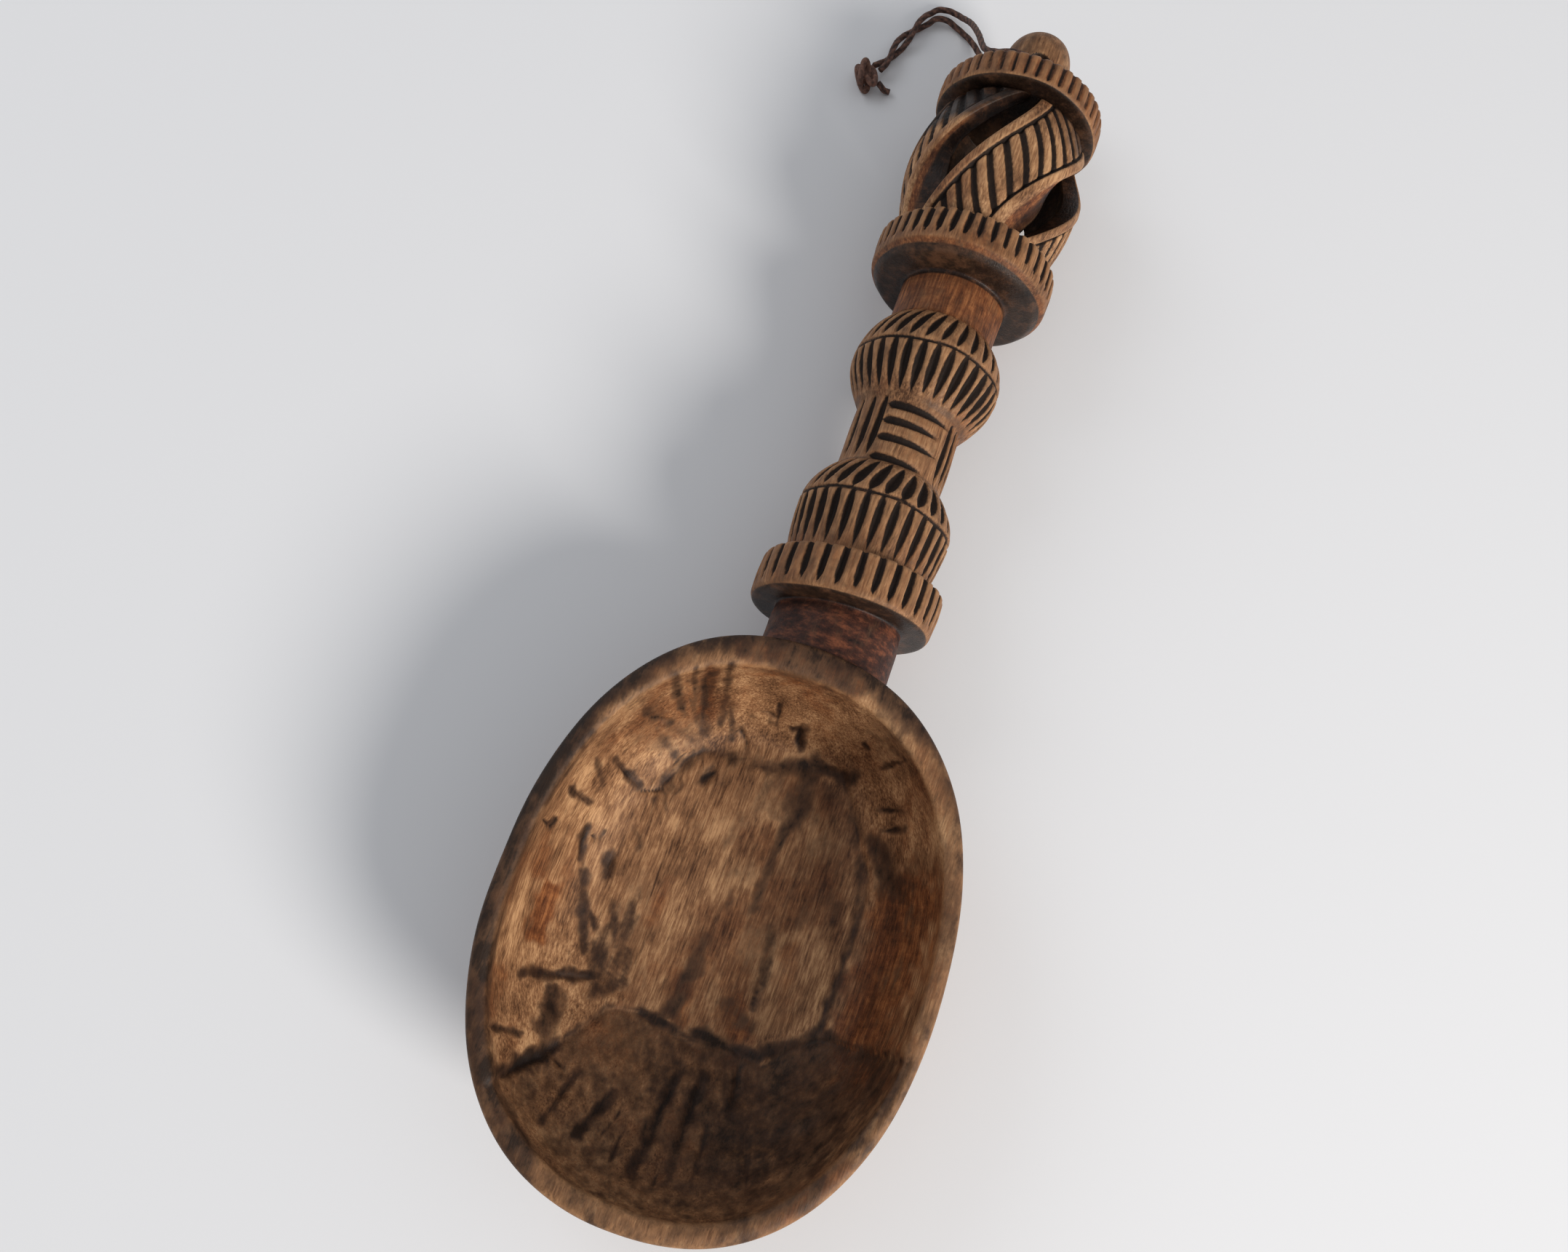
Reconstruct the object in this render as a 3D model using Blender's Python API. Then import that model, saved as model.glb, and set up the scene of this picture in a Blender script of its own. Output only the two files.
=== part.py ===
"""Carved wooden serving spoon with a hanging cord, lying on a table with its bowl open upwards.

Metres, +Z up. The handle points along +Y, and the origin is on the table under the middle of the wood.
The spoon is one block of wood, so bowl, neck, collars, bulbs, twisted cage and knob are one solid.
The cord is a second length of material: two strands through a hole in the knob, a knot and its tail.
"""

import math
from itertools import accumulate

import bmesh
import bpy
import numpy as np
from mathutils import Vector

# Bowl
BOWL_LENGTH = 0.1440
BOWL_WIDTH = 0.1104
BOWL_HEIGHT = 0.0465
BOWL_WIDEST = 0.0698  # from the tip
BOWL_SQUARENESS = 2.27  # 2 would be an ellipse
FLOOR_HEIGHT = 0.0095
FLOOR_WIDTH = 0.0600
FLOOR_TO_TIP = 0.0232  # floor's reach from the widest line
FLOOR_TO_HANDLE = 0.0520
BASE_WIDTH = 0.0520
BASE_TO_TIP = 0.0220
BASE_TO_HANDLE = 0.0480
RIM_SIDE = 0.0046  # thickness of the lip
RIM_TIP = 0.0055
RIM_HANDLE = 0.0085
RIM_ROUND = 0.0022

# Handle: lengths of the members, from the bowl to the end
LOWER_NECK = 0.0140
LOWER_COLLAR = 0.0130
LOWER_BULB = 0.0290
PANEL_SHAFT = 0.0200
UPPER_BULB = 0.0275
UPPER_NECK = 0.0137
MIDDLE_COLLAR = 0.0133
CAGE = 0.0476
TOP_COLLAR = 0.0089
KNOB = 0.0250

# Handle: radii
LOWER_NECK_RADIUS = 0.0178
LOWER_NECK_WAIST = 0.0172  # just under the collar
LOWER_NECK_ROOT = 0.0260  # how far the neck runs into the bowl's block
LOWER_COLLAR_RADIUS = 0.0250
LOWER_BULB_RADIUS = 0.0216
LOWER_BULB_FOOT = 0.0192  # where it meets the collar
SHAFT_RADIUS = 0.0150
UPPER_BULB_RADIUS = 0.0213
UPPER_BULB_FOOT = 0.0156
UPPER_NECK_RADIUS = 0.0152
MIDDLE_COLLAR_RADIUS = 0.0263
TOP_COLLAR_RADIUS = 0.0249
KNOB_RADIUS = 0.0103
KNOB_WAIST = 0.0097  # at the collar
LOWER_COLLAR_BEVEL = 0.0012  # at the edge towards the bowl
MIDDLE_COLLAR_BEVEL = 0.0030
TOP_COLLAR_BEVEL = 0.0008
LOWER_BULB_BELLY = 0.55  # place of the widest line, as a share of the bulb's length
UPPER_BULB_BELLY = 0.52
BULB_STEPS = 6
BURIED = 0.0007  # how far a turned member runs on inside a collar
DOME_STEPS = 5
DOME_FULLNESS = 0.7  # 1 would be a half sphere
LOWER_COLLAR_LEAN = math.tan(math.radians(4))  # its right side sits further from the bowl
LEAN_FADE = 0.0080  # along the axis

# Cage, with lengths along it as shares of its length
RIBBONS = 4
RIBBON_BELLY = 0.0266  # outer radius at mid length
RIBBON_END = 0.0212  # outer radius at the collars
RIBBON_THICK = 0.0060
RIBBON_START = math.radians(-24.5)  # azimuth of the front ribbon at the middle collar
RIBBON_TWIST = math.radians(76)
RIBBON_GAP = math.radians(34)  # between ribbons where they are furthest apart
RIBBON_END_GAP = math.radians(5)
SHOULDER = 0.92  # where the ribbons round off below the top collar
SHOULDER_DROP = 0.0036
BORDER = 0.74  # the raised borders reach in to here, as a share of the half width
PANEL = 0.66  # and the slats reach out to here
SLAT_PITCH = 0.10
SLAT_FIRST = 0.06  # the lowest groove, on the ribbon's middle line
SLAT_ROWS = 27  # grooves and slats, from below the cage to above it
SLAT_SLANT = 0.24  # how much lower a slat's end is than its middle
SLAT_SUNK = 0.0006  # below the raised borders
SLAT_GROOVE = 0.0018
ROOT = 0.45  # how far a ribbon runs on beyond the cage
ROOT_SQUEEZE = 0.14  # with its ends drawn short inside the collars

# Knife cuts
CUT_LIFT = 0.0006  # how far a cutter stands out of the wood
CUT_END_LIFT = 0.0004
UNEVEN_PITCH = 0.07  # hand cuts vary by about this share
UNEVEN_SIZE = 0.10
NOTCH = ((0.0, 0.0), (1.0, 1.0))  # share of the length, share of width and depth
LEAF_LOW = ((0.0, 0.0), (0.35, 1.0), (1.0, 0.0))
LEAF_HIGH = ((0.0, 0.0), (0.65, 1.0), (1.0, 0.0))
SLOT = ((0.0, 0.6), (0.15, 1.0), (0.6, 0.8), (1.0, 0.0))

# Rows of notches in the collars: count, half width, depth, share that is left of them at the collar's foot
LOWER_NOTCHES = (32, 0.0013, 0.0017, 0.0)
MIDDLE_NOTCHES = (42, 0.0011, 0.0016, 0.0)
TOP_NOTCHES = (42, 0.0009, 0.0009, 0.8)

# Rows of leaves on the bulbs: count, from and to above the bulb's foot, half width, depth, lean, form
LOWER_LEAVES = (
    (32, 0.0008, 0.0166, 0.0014, 0.0015, 0.0, NOTCH),
    (28, 0.0174, 0.0282, 0.0018, 0.0016, 0.16, LEAF_LOW),
)
UPPER_LEAVES = (
    (32, 0.0026, 0.0148, 0.0016, 0.0016, 0.0, LEAF_HIGH),
    (30, 0.0154, 0.0271, 0.0014, 0.0013, 0.20, LEAF_LOW),
)

# Panel on the shaft: slots across it, and bars along the shaft beside it, with azimuths in degrees
PANEL_LEFT = -32
PANEL_SLOTS = ((0.0012, 28), (0.0074, 38), (0.0126, 33), (0.0173, 43))  # height on the shaft, right end
PANEL_BARS = (-70, -51, -36, 52, 64, 77)
SLOT_HALF_WIDTH = 0.0013
SLOT_FALL = 0.0004  # towards its right end
BAR_HALF_WIDTH = 0.0011
BAR_MARGIN = 0.0004
BAR_LEAN = 1.7
PANEL_DEPTH = 0.0011

# Cord
CORD_DIAMETER = 0.0020
CORD_HOLE_RADIUS = 0.0024
CORD_HOLE_FLARE = 0.0052
CORD_HOLE_FLARE_DEPTH = 0.0040
CORD_HOLE_STATION = 0.0080  # from the top collar
KNOT_LENGTH = 0.0098
KNOT_RADIUS = 0.0036
CORD_HOLE_SIDES = 20
KNOT_SIDES = 16
CURVE_STEPS = 24

ROUND = 36  # facets round a turned member
KNOB_SIDES = 28
AROUND_BOWL = 52
BOWL_RINGS = 9

AXIS_SHIFT = 0.0019  # the handle sits a little to the right of the bowl's middle
TABLE_CLEARANCE = 0.0002  # under the cage, the widest member
SMOOTH_UP_TO = math.radians(32)  # sharper edges stay crisp

AXIS_HEIGHT = RIBBON_BELLY + TABLE_CLEARANCE
MEMBERS = (
    BOWL_LENGTH, LOWER_NECK, LOWER_COLLAR, LOWER_BULB, PANEL_SHAFT, UPPER_BULB,
    UPPER_NECK, MIDDLE_COLLAR, CAGE, TOP_COLLAR, KNOB,
)
(
    BOWL_END, COLLAR_1_START, COLLAR_1_END, BULB_1_END, SHAFT_END, BULB_2_END,
    COLLAR_2_START, COLLAR_2_END, CAGE_END, COLLAR_3_END, LENGTH,
) = accumulate(MEMBERS)


def between(low, high, share):
    return low + (high - low) * share


def clear_scene():
    for obj in list(bpy.data.objects):
        bpy.data.objects.remove(obj, do_unlink=True)


def material(name, colour, roughness):
    made = bpy.data.materials.new(name)
    made.use_nodes = True
    shader = made.node_tree.nodes["Principled BSDF"]
    shader.inputs["Base Color"].default_value = (*colour, 1.0)
    shader.inputs["Roughness"].default_value = roughness
    shader.inputs["Metallic"].default_value = 0.0
    return made


def empty(name, location, rotation=(0.0, 0.0, 0.0)):
    made = bpy.data.objects.new(name, None)
    made.location = location
    made.rotation_euler = rotation
    bpy.context.scene.collection.objects.link(made)
    return made


def mesh_object(name, mesh, parent=None, finish=None):
    mesh.shade_smooth()
    mesh.set_sharp_from_angle(angle=SMOOTH_UP_TO)
    made = bpy.data.objects.new(name, mesh)
    bpy.context.scene.collection.objects.link(made)
    made.parent = parent
    if finish:
        mesh.materials.append(finish)
    return made


def loft(name, rings):
    """A closed mesh through rings of equally many points, with a flat cap at each end."""
    shell = bmesh.new()
    loops = [[shell.verts.new(point) for point in ring] for ring in rings]
    count = len(loops[0])
    for low, high in zip(loops, loops[1:]):
        for i in range(count):
            j = (i + 1) % count
            shell.faces.new((low[i], low[j], high[j], high[i]))
    shell.faces.new(loops[0])
    shell.faces.new(loops[-1])
    bmesh.ops.recalc_face_normals(shell, faces=shell.faces)
    mesh = bpy.data.meshes.new(name)
    shell.to_mesh(mesh)
    shell.free()
    return mesh


def helper(name, mesh, parent=None):
    """A blank or a cutter that only Boolean modifiers use."""
    made = mesh_object(name, mesh, parent)
    made.hide_render = True
    made.display_type = "WIRE"
    return made


def boolean(target, tool, operation):
    modifier = target.modifiers.new(f"{operation.lower()} {tool.name}", "BOOLEAN")
    modifier.operation = operation
    modifier.solver = "EXACT"
    modifier.object = tool


def on_handle(station, radius, azimuth):
    """A point in the handle's frame: its own Z is the axis, and azimuth 0 faces up, growing to the right."""
    right = radius * math.sin(azimuth)
    past_collar = max(COLLAR_1_START - station, station - COLLAR_1_END, 0.0)
    lean = LOWER_COLLAR_LEAN * max(0.0, 1 - past_collar / LEAN_FADE)
    return Vector((right, -radius * math.cos(azimuth), station + lean * right))


def turned(name, profile, sides=ROUND):
    """A turned member from its profile, as (station, radius) pairs."""
    angles = [2 * math.pi * i / sides for i in range(sides)]
    return loft(name, [[on_handle(s, r, a) for a in angles] for s, r in profile])


def uneven(i, row):
    """The same small unevenness of hand work every time, from -1 to 1."""
    return math.sin(12.9898 * i + 4.1 * row)


def hand_cut(i, count, row):
    """Azimuth and size of one of the cuts that go round the handle side by side."""
    azimuth = 2 * math.pi * (i + UNEVEN_PITCH * uneven(i, row)) / count
    return azimuth, 1 + UNEVEN_SIZE * uneven(i, row + 1)


def notched_collar(name, start, end, radius, bevel, notches, row):
    """A collar whose notches open at its upper edge and narrow in depth towards its foot."""
    count, half_width, depth, foot = notches
    rings = [[], [], []]
    levels = ((start, radius - bevel, foot), (start + bevel, radius, foot), (end, radius, 1.0))
    for i in range(count):
        azimuth, size = hand_cut(i, count, row)
        half_turn = half_width * size / radius
        for turn, cut in ((-half_turn, 0), (0, depth * size), (half_turn, 0)):
            for ring, (station, reach, share) in zip(rings, levels):
                ring.append(on_handle(station, reach - share * cut, azimuth + turn))
    return loft(name, rings)


def bulb_profile(start, end, foot, belly, shoulder, belly_at):
    """A bulb that swells from its foot to the belly and falls again to the next member."""
    points = []
    for i in range(BULB_STEPS + 1):
        u = i / BULB_STEPS
        if u < belly_at:
            rise = math.sin(0.5 * math.pi * u / belly_at)
            radius = between(foot, belly, rise)
        else:
            fall = math.cos(0.5 * math.pi * (u - belly_at) / (1 - belly_at))
            radius = between(shoulder, belly, fall**0.8)
        points.append((between(start, end, u), radius))
    return points


def lower_bulb_profile():
    return bulb_profile(
        COLLAR_1_END - BURIED, BULB_1_END, LOWER_BULB_FOOT, LOWER_BULB_RADIUS, SHAFT_RADIUS, LOWER_BULB_BELLY
    )


def upper_bulb_profile():
    return bulb_profile(
        SHAFT_END, BULB_2_END, UPPER_BULB_FOOT, UPPER_BULB_RADIUS, UPPER_NECK_RADIUS, UPPER_BULB_BELLY
    )


def lower_handle_profile():
    """From inside the bowl's block up to the middle collar."""
    return [
        (BOWL_END - LOWER_NECK_ROOT, LOWER_NECK_RADIUS),
        (between(BOWL_END, COLLAR_1_START, 0.7), LOWER_NECK_RADIUS),
        (COLLAR_1_START + BURIED, LOWER_NECK_WAIST),
        *lower_bulb_profile(),
        (between(BULB_1_END, SHAFT_END, 0.97), SHAFT_RADIUS),
        *upper_bulb_profile(),
        (between(COLLAR_2_START, COLLAR_2_END, 0.5), UPPER_NECK_RADIUS),
    ]


def knob_profile():
    """The knob with its domed end, from inside the top collar."""
    dome_centre = LENGTH - KNOB_RADIUS
    dome = [0.5 * math.pi * i / DOME_STEPS for i in range(DOME_STEPS)]
    return [
        (between(CAGE_END, COLLAR_3_END, 0.5), KNOB_WAIST),
        (COLLAR_3_END - BURIED, KNOB_WAIST),
        (between(COLLAR_3_END, dome_centre, 0.5), between(KNOB_WAIST, KNOB_RADIUS, 0.7)),
        *[
            (dome_centre + KNOB_RADIUS * math.sin(a), KNOB_RADIUS * math.cos(a) ** DOME_FULLNESS)
            for a in dome
        ],
        (LENGTH, 0.1 * KNOB_RADIUS),
    ]


def ribbon_point(u, side, depth, number):
    """A place on a ribbon: share of the cage's length, share of the half width, depth below its face."""
    exposed = min(max(u, 0.0), 1.0)
    bulge = math.sin(math.pi * exposed)
    opening = max(math.sin(math.pi * exposed**0.75), 0.0) ** 0.5
    half = math.pi / RIBBONS - 0.5 * between(RIBBON_END_GAP, RIBBON_GAP, opening)
    centre = RIBBON_START + RIBBON_TWIST * exposed + number * 2 * math.pi / RIBBONS
    station = COLLAR_2_END + CAGE * (exposed + ROOT_SQUEEZE * (u - exposed))
    return on_handle(station, between(RIBBON_END, RIBBON_BELLY, bulge) - depth, centre + half * side)


def ribbon(name, number):
    """One twisted ribbon of the cage: raised borders, and slats between grooves that cross it slantwise."""
    slats = [(SLAT_FIRST + SLAT_PITCH * (k - 4) / 2, k % 2 == 0) for k in range(SLAT_ROWS)]
    rings = []
    for row, groove in [(-ROOT, False), *slats, (1 + ROOT, False)]:
        sunk = SLAT_GROOVE if groove else SLAT_SUNK
        outside = [(-1, 0), (-BORDER, 0), (-PANEL, sunk), (0, sunk), (PANEL, sunk), (BORDER, 0), (1, 0)]
        inside = [(1, RIBBON_THICK), (0, RIBBON_THICK), (-1, RIBBON_THICK)]
        ring = []
        for w, depth in outside + inside:
            u = row - SLAT_SLANT * w
            rounding = SHOULDER_DROP * min(max((u - SHOULDER) / (1 - SHOULDER), 0.0), 1.0) ** 2
            ring.append(ribbon_point(u, w, max(depth, rounding), number))
        rings.append(ring)
    return loft(name, rings)


def collars():
    rows = (
        (COLLAR_1_START, COLLAR_1_END, LOWER_COLLAR_RADIUS, LOWER_COLLAR_BEVEL, LOWER_NOTCHES),
        (COLLAR_2_START, COLLAR_2_END, MIDDLE_COLLAR_RADIUS, MIDDLE_COLLAR_BEVEL, MIDDLE_NOTCHES),
        (CAGE_END, COLLAR_3_END, TOP_COLLAR_RADIUS, TOP_COLLAR_BEVEL, TOP_NOTCHES),
    )
    names = ("lower_collar", "middle_collar", "top_collar")
    return [notched_collar(name, *collar, row) for row, (name, collar) in enumerate(zip(names, rows), 5)]


def add_cut(shell, profile, start, end, half_width, depth, sections):
    """Adds a boat-shaped cutter along a stroke between two (station, azimuth) places on a turned profile."""
    stations, radii = zip(*profile)
    radius = np.interp(0.5 * (start[0] + end[0]), stations, radii)
    step = Vector((end[0] - start[0], radius * (end[1] - start[1])))
    across = Vector((-step.y, step.x)).normalized()
    loops = []
    for share, size in sections:
        station, azimuth = (between(a, b, share) for a, b in zip(start, end))
        surface = np.interp(station, stations, radii)
        if size == 0:
            loops.append([shell.verts.new(on_handle(station, surface + CUT_END_LIFT, azimuth))])
            continue
        wide = half_width * size + half_width * CUT_LIFT / depth
        corners = [(0, surface - depth * size), (wide, surface + CUT_LIFT), (-wide, surface + CUT_LIFT)]
        loops.append([
            shell.verts.new(on_handle(station + off * across.x, r, azimuth + off * across.y / surface))
            for off, r in corners
        ])
    for low, high in zip(loops, loops[1:]):
        for i in range(3):
            j = (i + 1) % 3
            corners = [low[i % len(low)], low[j % len(low)], high[j % len(high)], high[i % len(high)]]
            shell.faces.new(list(dict.fromkeys(corners)))
    for end_loop in (loops[0], loops[-1]):
        if len(end_loop) == 3:
            shell.faces.new(end_loop)


def cutter(name, fill):
    """A mesh of many closed cutters that the fill function adds."""
    shell = bmesh.new()
    fill(shell)
    bmesh.ops.recalc_face_normals(shell, faces=shell.faces)
    mesh = bpy.data.meshes.new(name)
    shell.to_mesh(mesh)
    shell.free()
    return mesh


def row_of_cuts(profile, foot, leaves, row):
    """Strokes side by side round the handle, as two cutters of every other stroke, so that none touch."""
    count, low, high, half_width, depth, lean, form = leaves

    def add(shell, first):
        for i in range(first, count, 2):
            azimuth, size = hand_cut(i, count, row)
            start, end = (foot + low, azimuth), (foot + high, azimuth + lean)
            add_cut(shell, profile, start, end, half_width * size, depth * size, form)

    return [cutter(f"leaves_{row}_{first}", lambda shell: add(shell, first)) for first in (0, 1)]


def panel_cuts(profile):
    """The square panel on the shaft's front and back, and the long cuts beside it."""
    def add_slots(shell):
        for facing in (0, 180):
            for height, right in PANEL_SLOTS:
                start = (BULB_1_END + height, math.radians(facing + PANEL_LEFT))
                end = (BULB_1_END + height - SLOT_FALL, math.radians(facing + right))
                add_cut(shell, profile, start, end, SLOT_HALF_WIDTH, PANEL_DEPTH, SLOT)

    def add_bars(shell):
        for facing in (0, 180):
            for bar in PANEL_BARS:
                start = (BULB_1_END + BAR_MARGIN, math.radians(facing + bar))
                end = (SHAFT_END - BAR_MARGIN, math.radians(facing + bar + BAR_LEAN))
                add_cut(shell, profile, start, end, BAR_HALF_WIDTH, PANEL_DEPTH, LEAF_HIGH)

    return [cutter("panel_slots", add_slots), cutter("panel_bars", add_bars)]


def knife_cuts():
    rows = [(lower_bulb_profile(), COLLAR_1_END, leaves) for leaves in LOWER_LEAVES]
    rows += [(upper_bulb_profile(), SHAFT_END, leaves) for leaves in UPPER_LEAVES]
    cutters = panel_cuts([(BULB_1_END, SHAFT_RADIUS), (SHAFT_END, SHAFT_RADIUS)])
    for number, row in enumerate(rows):
        cutters += row_of_cuts(*row, number)
    return cutters


def oval(height, half_width, to_tip, to_handle):
    """A level ring of the bowl: a squared ellipse with its own reach towards the tip and the handle."""
    ring = []
    power = 2 / BOWL_SQUARENESS
    for i in range(AROUND_BOWL):
        angle = 2 * math.pi * (i + 0.5) / AROUND_BOWL
        across = math.copysign(abs(math.cos(angle)) ** power, math.cos(angle))
        along = math.copysign(abs(math.sin(angle)) ** power, math.sin(angle))
        reach = to_handle if along > 0 else to_tip
        y = BOWL_WIDEST - 0.5 * LENGTH + along * reach
        ring.append(Vector((half_width * across, y, height)))
    return ring


def bowl_blank():
    """The bowl's outside as a full block, with a rounded lip."""
    rings = []
    for i in range(BOWL_RINGS):
        q = i / (BOWL_RINGS - 1)
        height = q**1.5 * (BOWL_HEIGHT - RIM_ROUND)
        swell = math.sqrt(1 - (1 - height / BOWL_HEIGHT) ** 2)
        rings.append(
            oval(
                height,
                between(BASE_WIDTH, BOWL_WIDTH, swell) / 2,
                between(BASE_TO_TIP, BOWL_WIDEST, swell),
                between(BASE_TO_HANDLE, BOWL_LENGTH - BOWL_WIDEST, swell),
            )
        )
    for turn in (0.5, 1.0):
        inset = RIM_ROUND * (1 - math.cos(0.5 * math.pi * turn)) * 0.8
        rings.append(
            oval(
                BOWL_HEIGHT - RIM_ROUND * (1 - math.sin(0.5 * math.pi * turn)),
                BOWL_WIDTH / 2 - inset,
                BOWL_WIDEST - inset,
                BOWL_LENGTH - BOWL_WIDEST - inset,
            )
        )
    return loft("bowl_blank", rings)


def bowl_hollow():
    """What is hollowed out of the bowl: steep at the handle, gentle at the tip, flat on its floor."""
    rings = []
    depth = BOWL_HEIGHT - FLOOR_HEIGHT
    side = BOWL_WIDTH / 2 - RIM_SIDE
    tip = BOWL_WIDEST - RIM_TIP
    handle = BOWL_LENGTH - BOWL_WIDEST - RIM_HANDLE
    for i in range(BOWL_RINGS):
        q = i / (BOWL_RINGS - 1)
        rise = q**1.6 * (1 - RIM_ROUND / depth)
        swell = math.sqrt(1 - (1 - rise) ** 2)
        slope = math.sin(0.5 * math.pi * rise) ** 0.9
        rings.append(
            oval(
                FLOOR_HEIGHT + rise * depth,
                between(FLOOR_WIDTH / 2, side, swell),
                between(FLOOR_TO_TIP, tip, slope),
                between(FLOOR_TO_HANDLE, handle, swell),
            )
        )
    flare = 0.5 * RIM_ROUND
    for height, wider in ((BOWL_HEIGHT, flare), (BOWL_HEIGHT + RIM_ROUND, 2 * flare)):
        rings.append(oval(height, side + wider, tip + wider, handle + wider))
    return loft("bowl_hollow", rings)


def round_rings(profile, sides):
    """Rings about Z from (height, radius) pairs."""
    turns = [2 * math.pi * i / sides for i in range(sides)]
    return [[Vector((r * math.cos(a), r * math.sin(a), height)) for a in turns] for height, r in profile]


def cord_hole():
    """The hole down through the knob, flared at both mouths."""
    throat = KNOB_RADIUS - CORD_HOLE_FLARE_DEPTH
    reach = KNOB_RADIUS + CORD_HOLE_FLARE_DEPTH
    mouth = 2 * CORD_HOLE_FLARE - CORD_HOLE_RADIUS
    profile = ((-reach, mouth), (-throat, CORD_HOLE_RADIUS), (throat, CORD_HOLE_RADIUS), (reach, mouth))
    return loft("cord_hole", round_rings(profile, CORD_HOLE_SIDES))


def smooth_route(points, spacing):
    """Points at an even spacing on a smooth curve through the route's own points, and its length."""
    knots = np.array([points[0], *points, points[-1]], float)
    fine = []
    for a, b, c, d in zip(knots, knots[1:], knots[2:], knots[3:]):
        for t in np.linspace(0, 1, CURVE_STEPS, endpoint=False):
            square = (2 * a - 5 * b + 4 * c - d) * t**2
            cube = (3 * b - a - 3 * c + d) * t**3
            fine.append(0.5 * (2 * b + (c - a) * t + square + cube))
    fine = np.array([*fine, knots[-1]])
    walked = np.concatenate([[0], np.cumsum(np.linalg.norm(np.diff(fine, axis=0), axis=1))])
    count = max(2, round(walked[-1] / spacing))
    at = np.linspace(0, walked[-1], count + 1)
    even = np.stack([np.interp(at, walked, fine[:, k]) for k in range(3)], axis=1)
    return [Vector(place) for place in even], walked[-1]


def cord_tube(name, points, parent, finish):
    route, length = smooth_route(points, 2.0 * CORD_DIAMETER)
    curve = bpy.data.curves.new(name, "CURVE")
    curve.dimensions = "3D"
    curve.bevel_depth = 0.5 * CORD_DIAMETER
    curve.bevel_resolution = 2
    curve.use_fill_caps = True
    spline = curve.splines.new("POLY")
    spline.points.add(len(route) - 1)
    for point, place in zip(spline.points, route):
        point.co = (*place, 1.0)
    made = bpy.data.objects.new(name, curve)
    bpy.context.scene.collection.objects.link(made)
    made.parent = parent
    curve.materials.append(finish)
    print(f"{name}: {1000 * length:.0f} mm long")
    return made


# Routes in the knob hole's frame: origin on the hole's axis at table height
UPPER_LEAD = (
    (0.0, 0.0, 0.0272), (0.0, 0.0, 0.0318), (-0.0008, 0.0001, 0.0352), (-0.0040, 0.0004, 0.0384),
    (-0.0085, 0.0010, 0.0378), (-0.0130, 0.0026, 0.0336), (-0.0170, 0.0070, 0.0280),
    (-0.0205, 0.0180, 0.0200), (-0.0240, 0.0285, 0.0110), (-0.0280, 0.0350, 0.0046),
    (-0.0322, 0.0374, 0.0026), (-0.0358, 0.0366, 0.0026),
)
LOWER_LEAD = (
    (0.0, 0.0, 0.0260), (0.0, 0.0, 0.0216), (-0.0006, 0.0002, 0.0180), (-0.0032, 0.0020, 0.0144),
    (-0.0072, 0.0066, 0.0106), (-0.0120, 0.0140, 0.0068), (-0.0168, 0.0230, 0.0034),
    (-0.0220, 0.0294, 0.0018), (-0.0276, 0.0326, 0.0016), (-0.0325, 0.0338, 0.0024),
)
PAIR_ROUTE = (
    (-0.0370, 0.0334, 0.0025), (-0.0400, 0.0286, 0.0025), (-0.0421, 0.0236, 0.0025),
    (-0.0436, 0.0188, 0.0025), (-0.0449, 0.0142, 0.0026), (-0.0460, 0.0102, 0.0029),
    (-0.0477, 0.0065, 0.0034),
)
PAIR_SPREAD = 0.0013  # from the twisted pair's middle to each strand
PAIR_TURNS = 1.0
PAIR_STEP = 0.0030
TAIL_ROUTE = (
    (-0.0456, 0.0012, 0.0034), (-0.0445, 0.0010, 0.0025),
    (-0.0432, 0.0008, 0.0016), (-0.0414, 0.0010, 0.0012),
)
KNOT_PLACE = (-0.0503, 0.0018, 0.0038)
KNOT_HEADING = math.radians(112)


def twisted_pair(side):
    """One strand of the stretch where both wind round each other, ending at the knot."""
    middle, _ = smooth_route(PAIR_ROUTE, PAIR_STEP)
    last = len(middle) - 1
    strand = []
    for i, place in enumerate(middle):
        ahead = middle[min(i + 1, last)] - middle[max(i - 1, 0)]
        across = Vector((ahead.y, -ahead.x, 0.0)).normalized()
        turn = 2 * math.pi * PAIR_TURNS * i / last
        offset = across * math.cos(turn) + Vector((0.0, 0.0, math.sin(turn)))
        strand.append(place + side * PAIR_SPREAD * offset)
    return strand


def knot(parent, finish):
    """The tied end as one bead with the swell and waist of an overhand knot."""
    swell = ((0.0, 0.45), (0.12, 0.80), (0.32, 1.0), (0.50, 0.88), (0.68, 1.0), (0.88, 0.82), (1.0, 0.50))
    profile = [((along - 0.5) * KNOT_LENGTH, share * KNOT_RADIUS) for along, share in swell]
    made = mesh_object("cord_knot", loft("cord_knot", round_rings(profile, KNOT_SIDES)), parent, finish)
    made.location = KNOT_PLACE
    made.rotation_euler = (0.0, 0.5 * math.pi, KNOT_HEADING)
    return made


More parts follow.
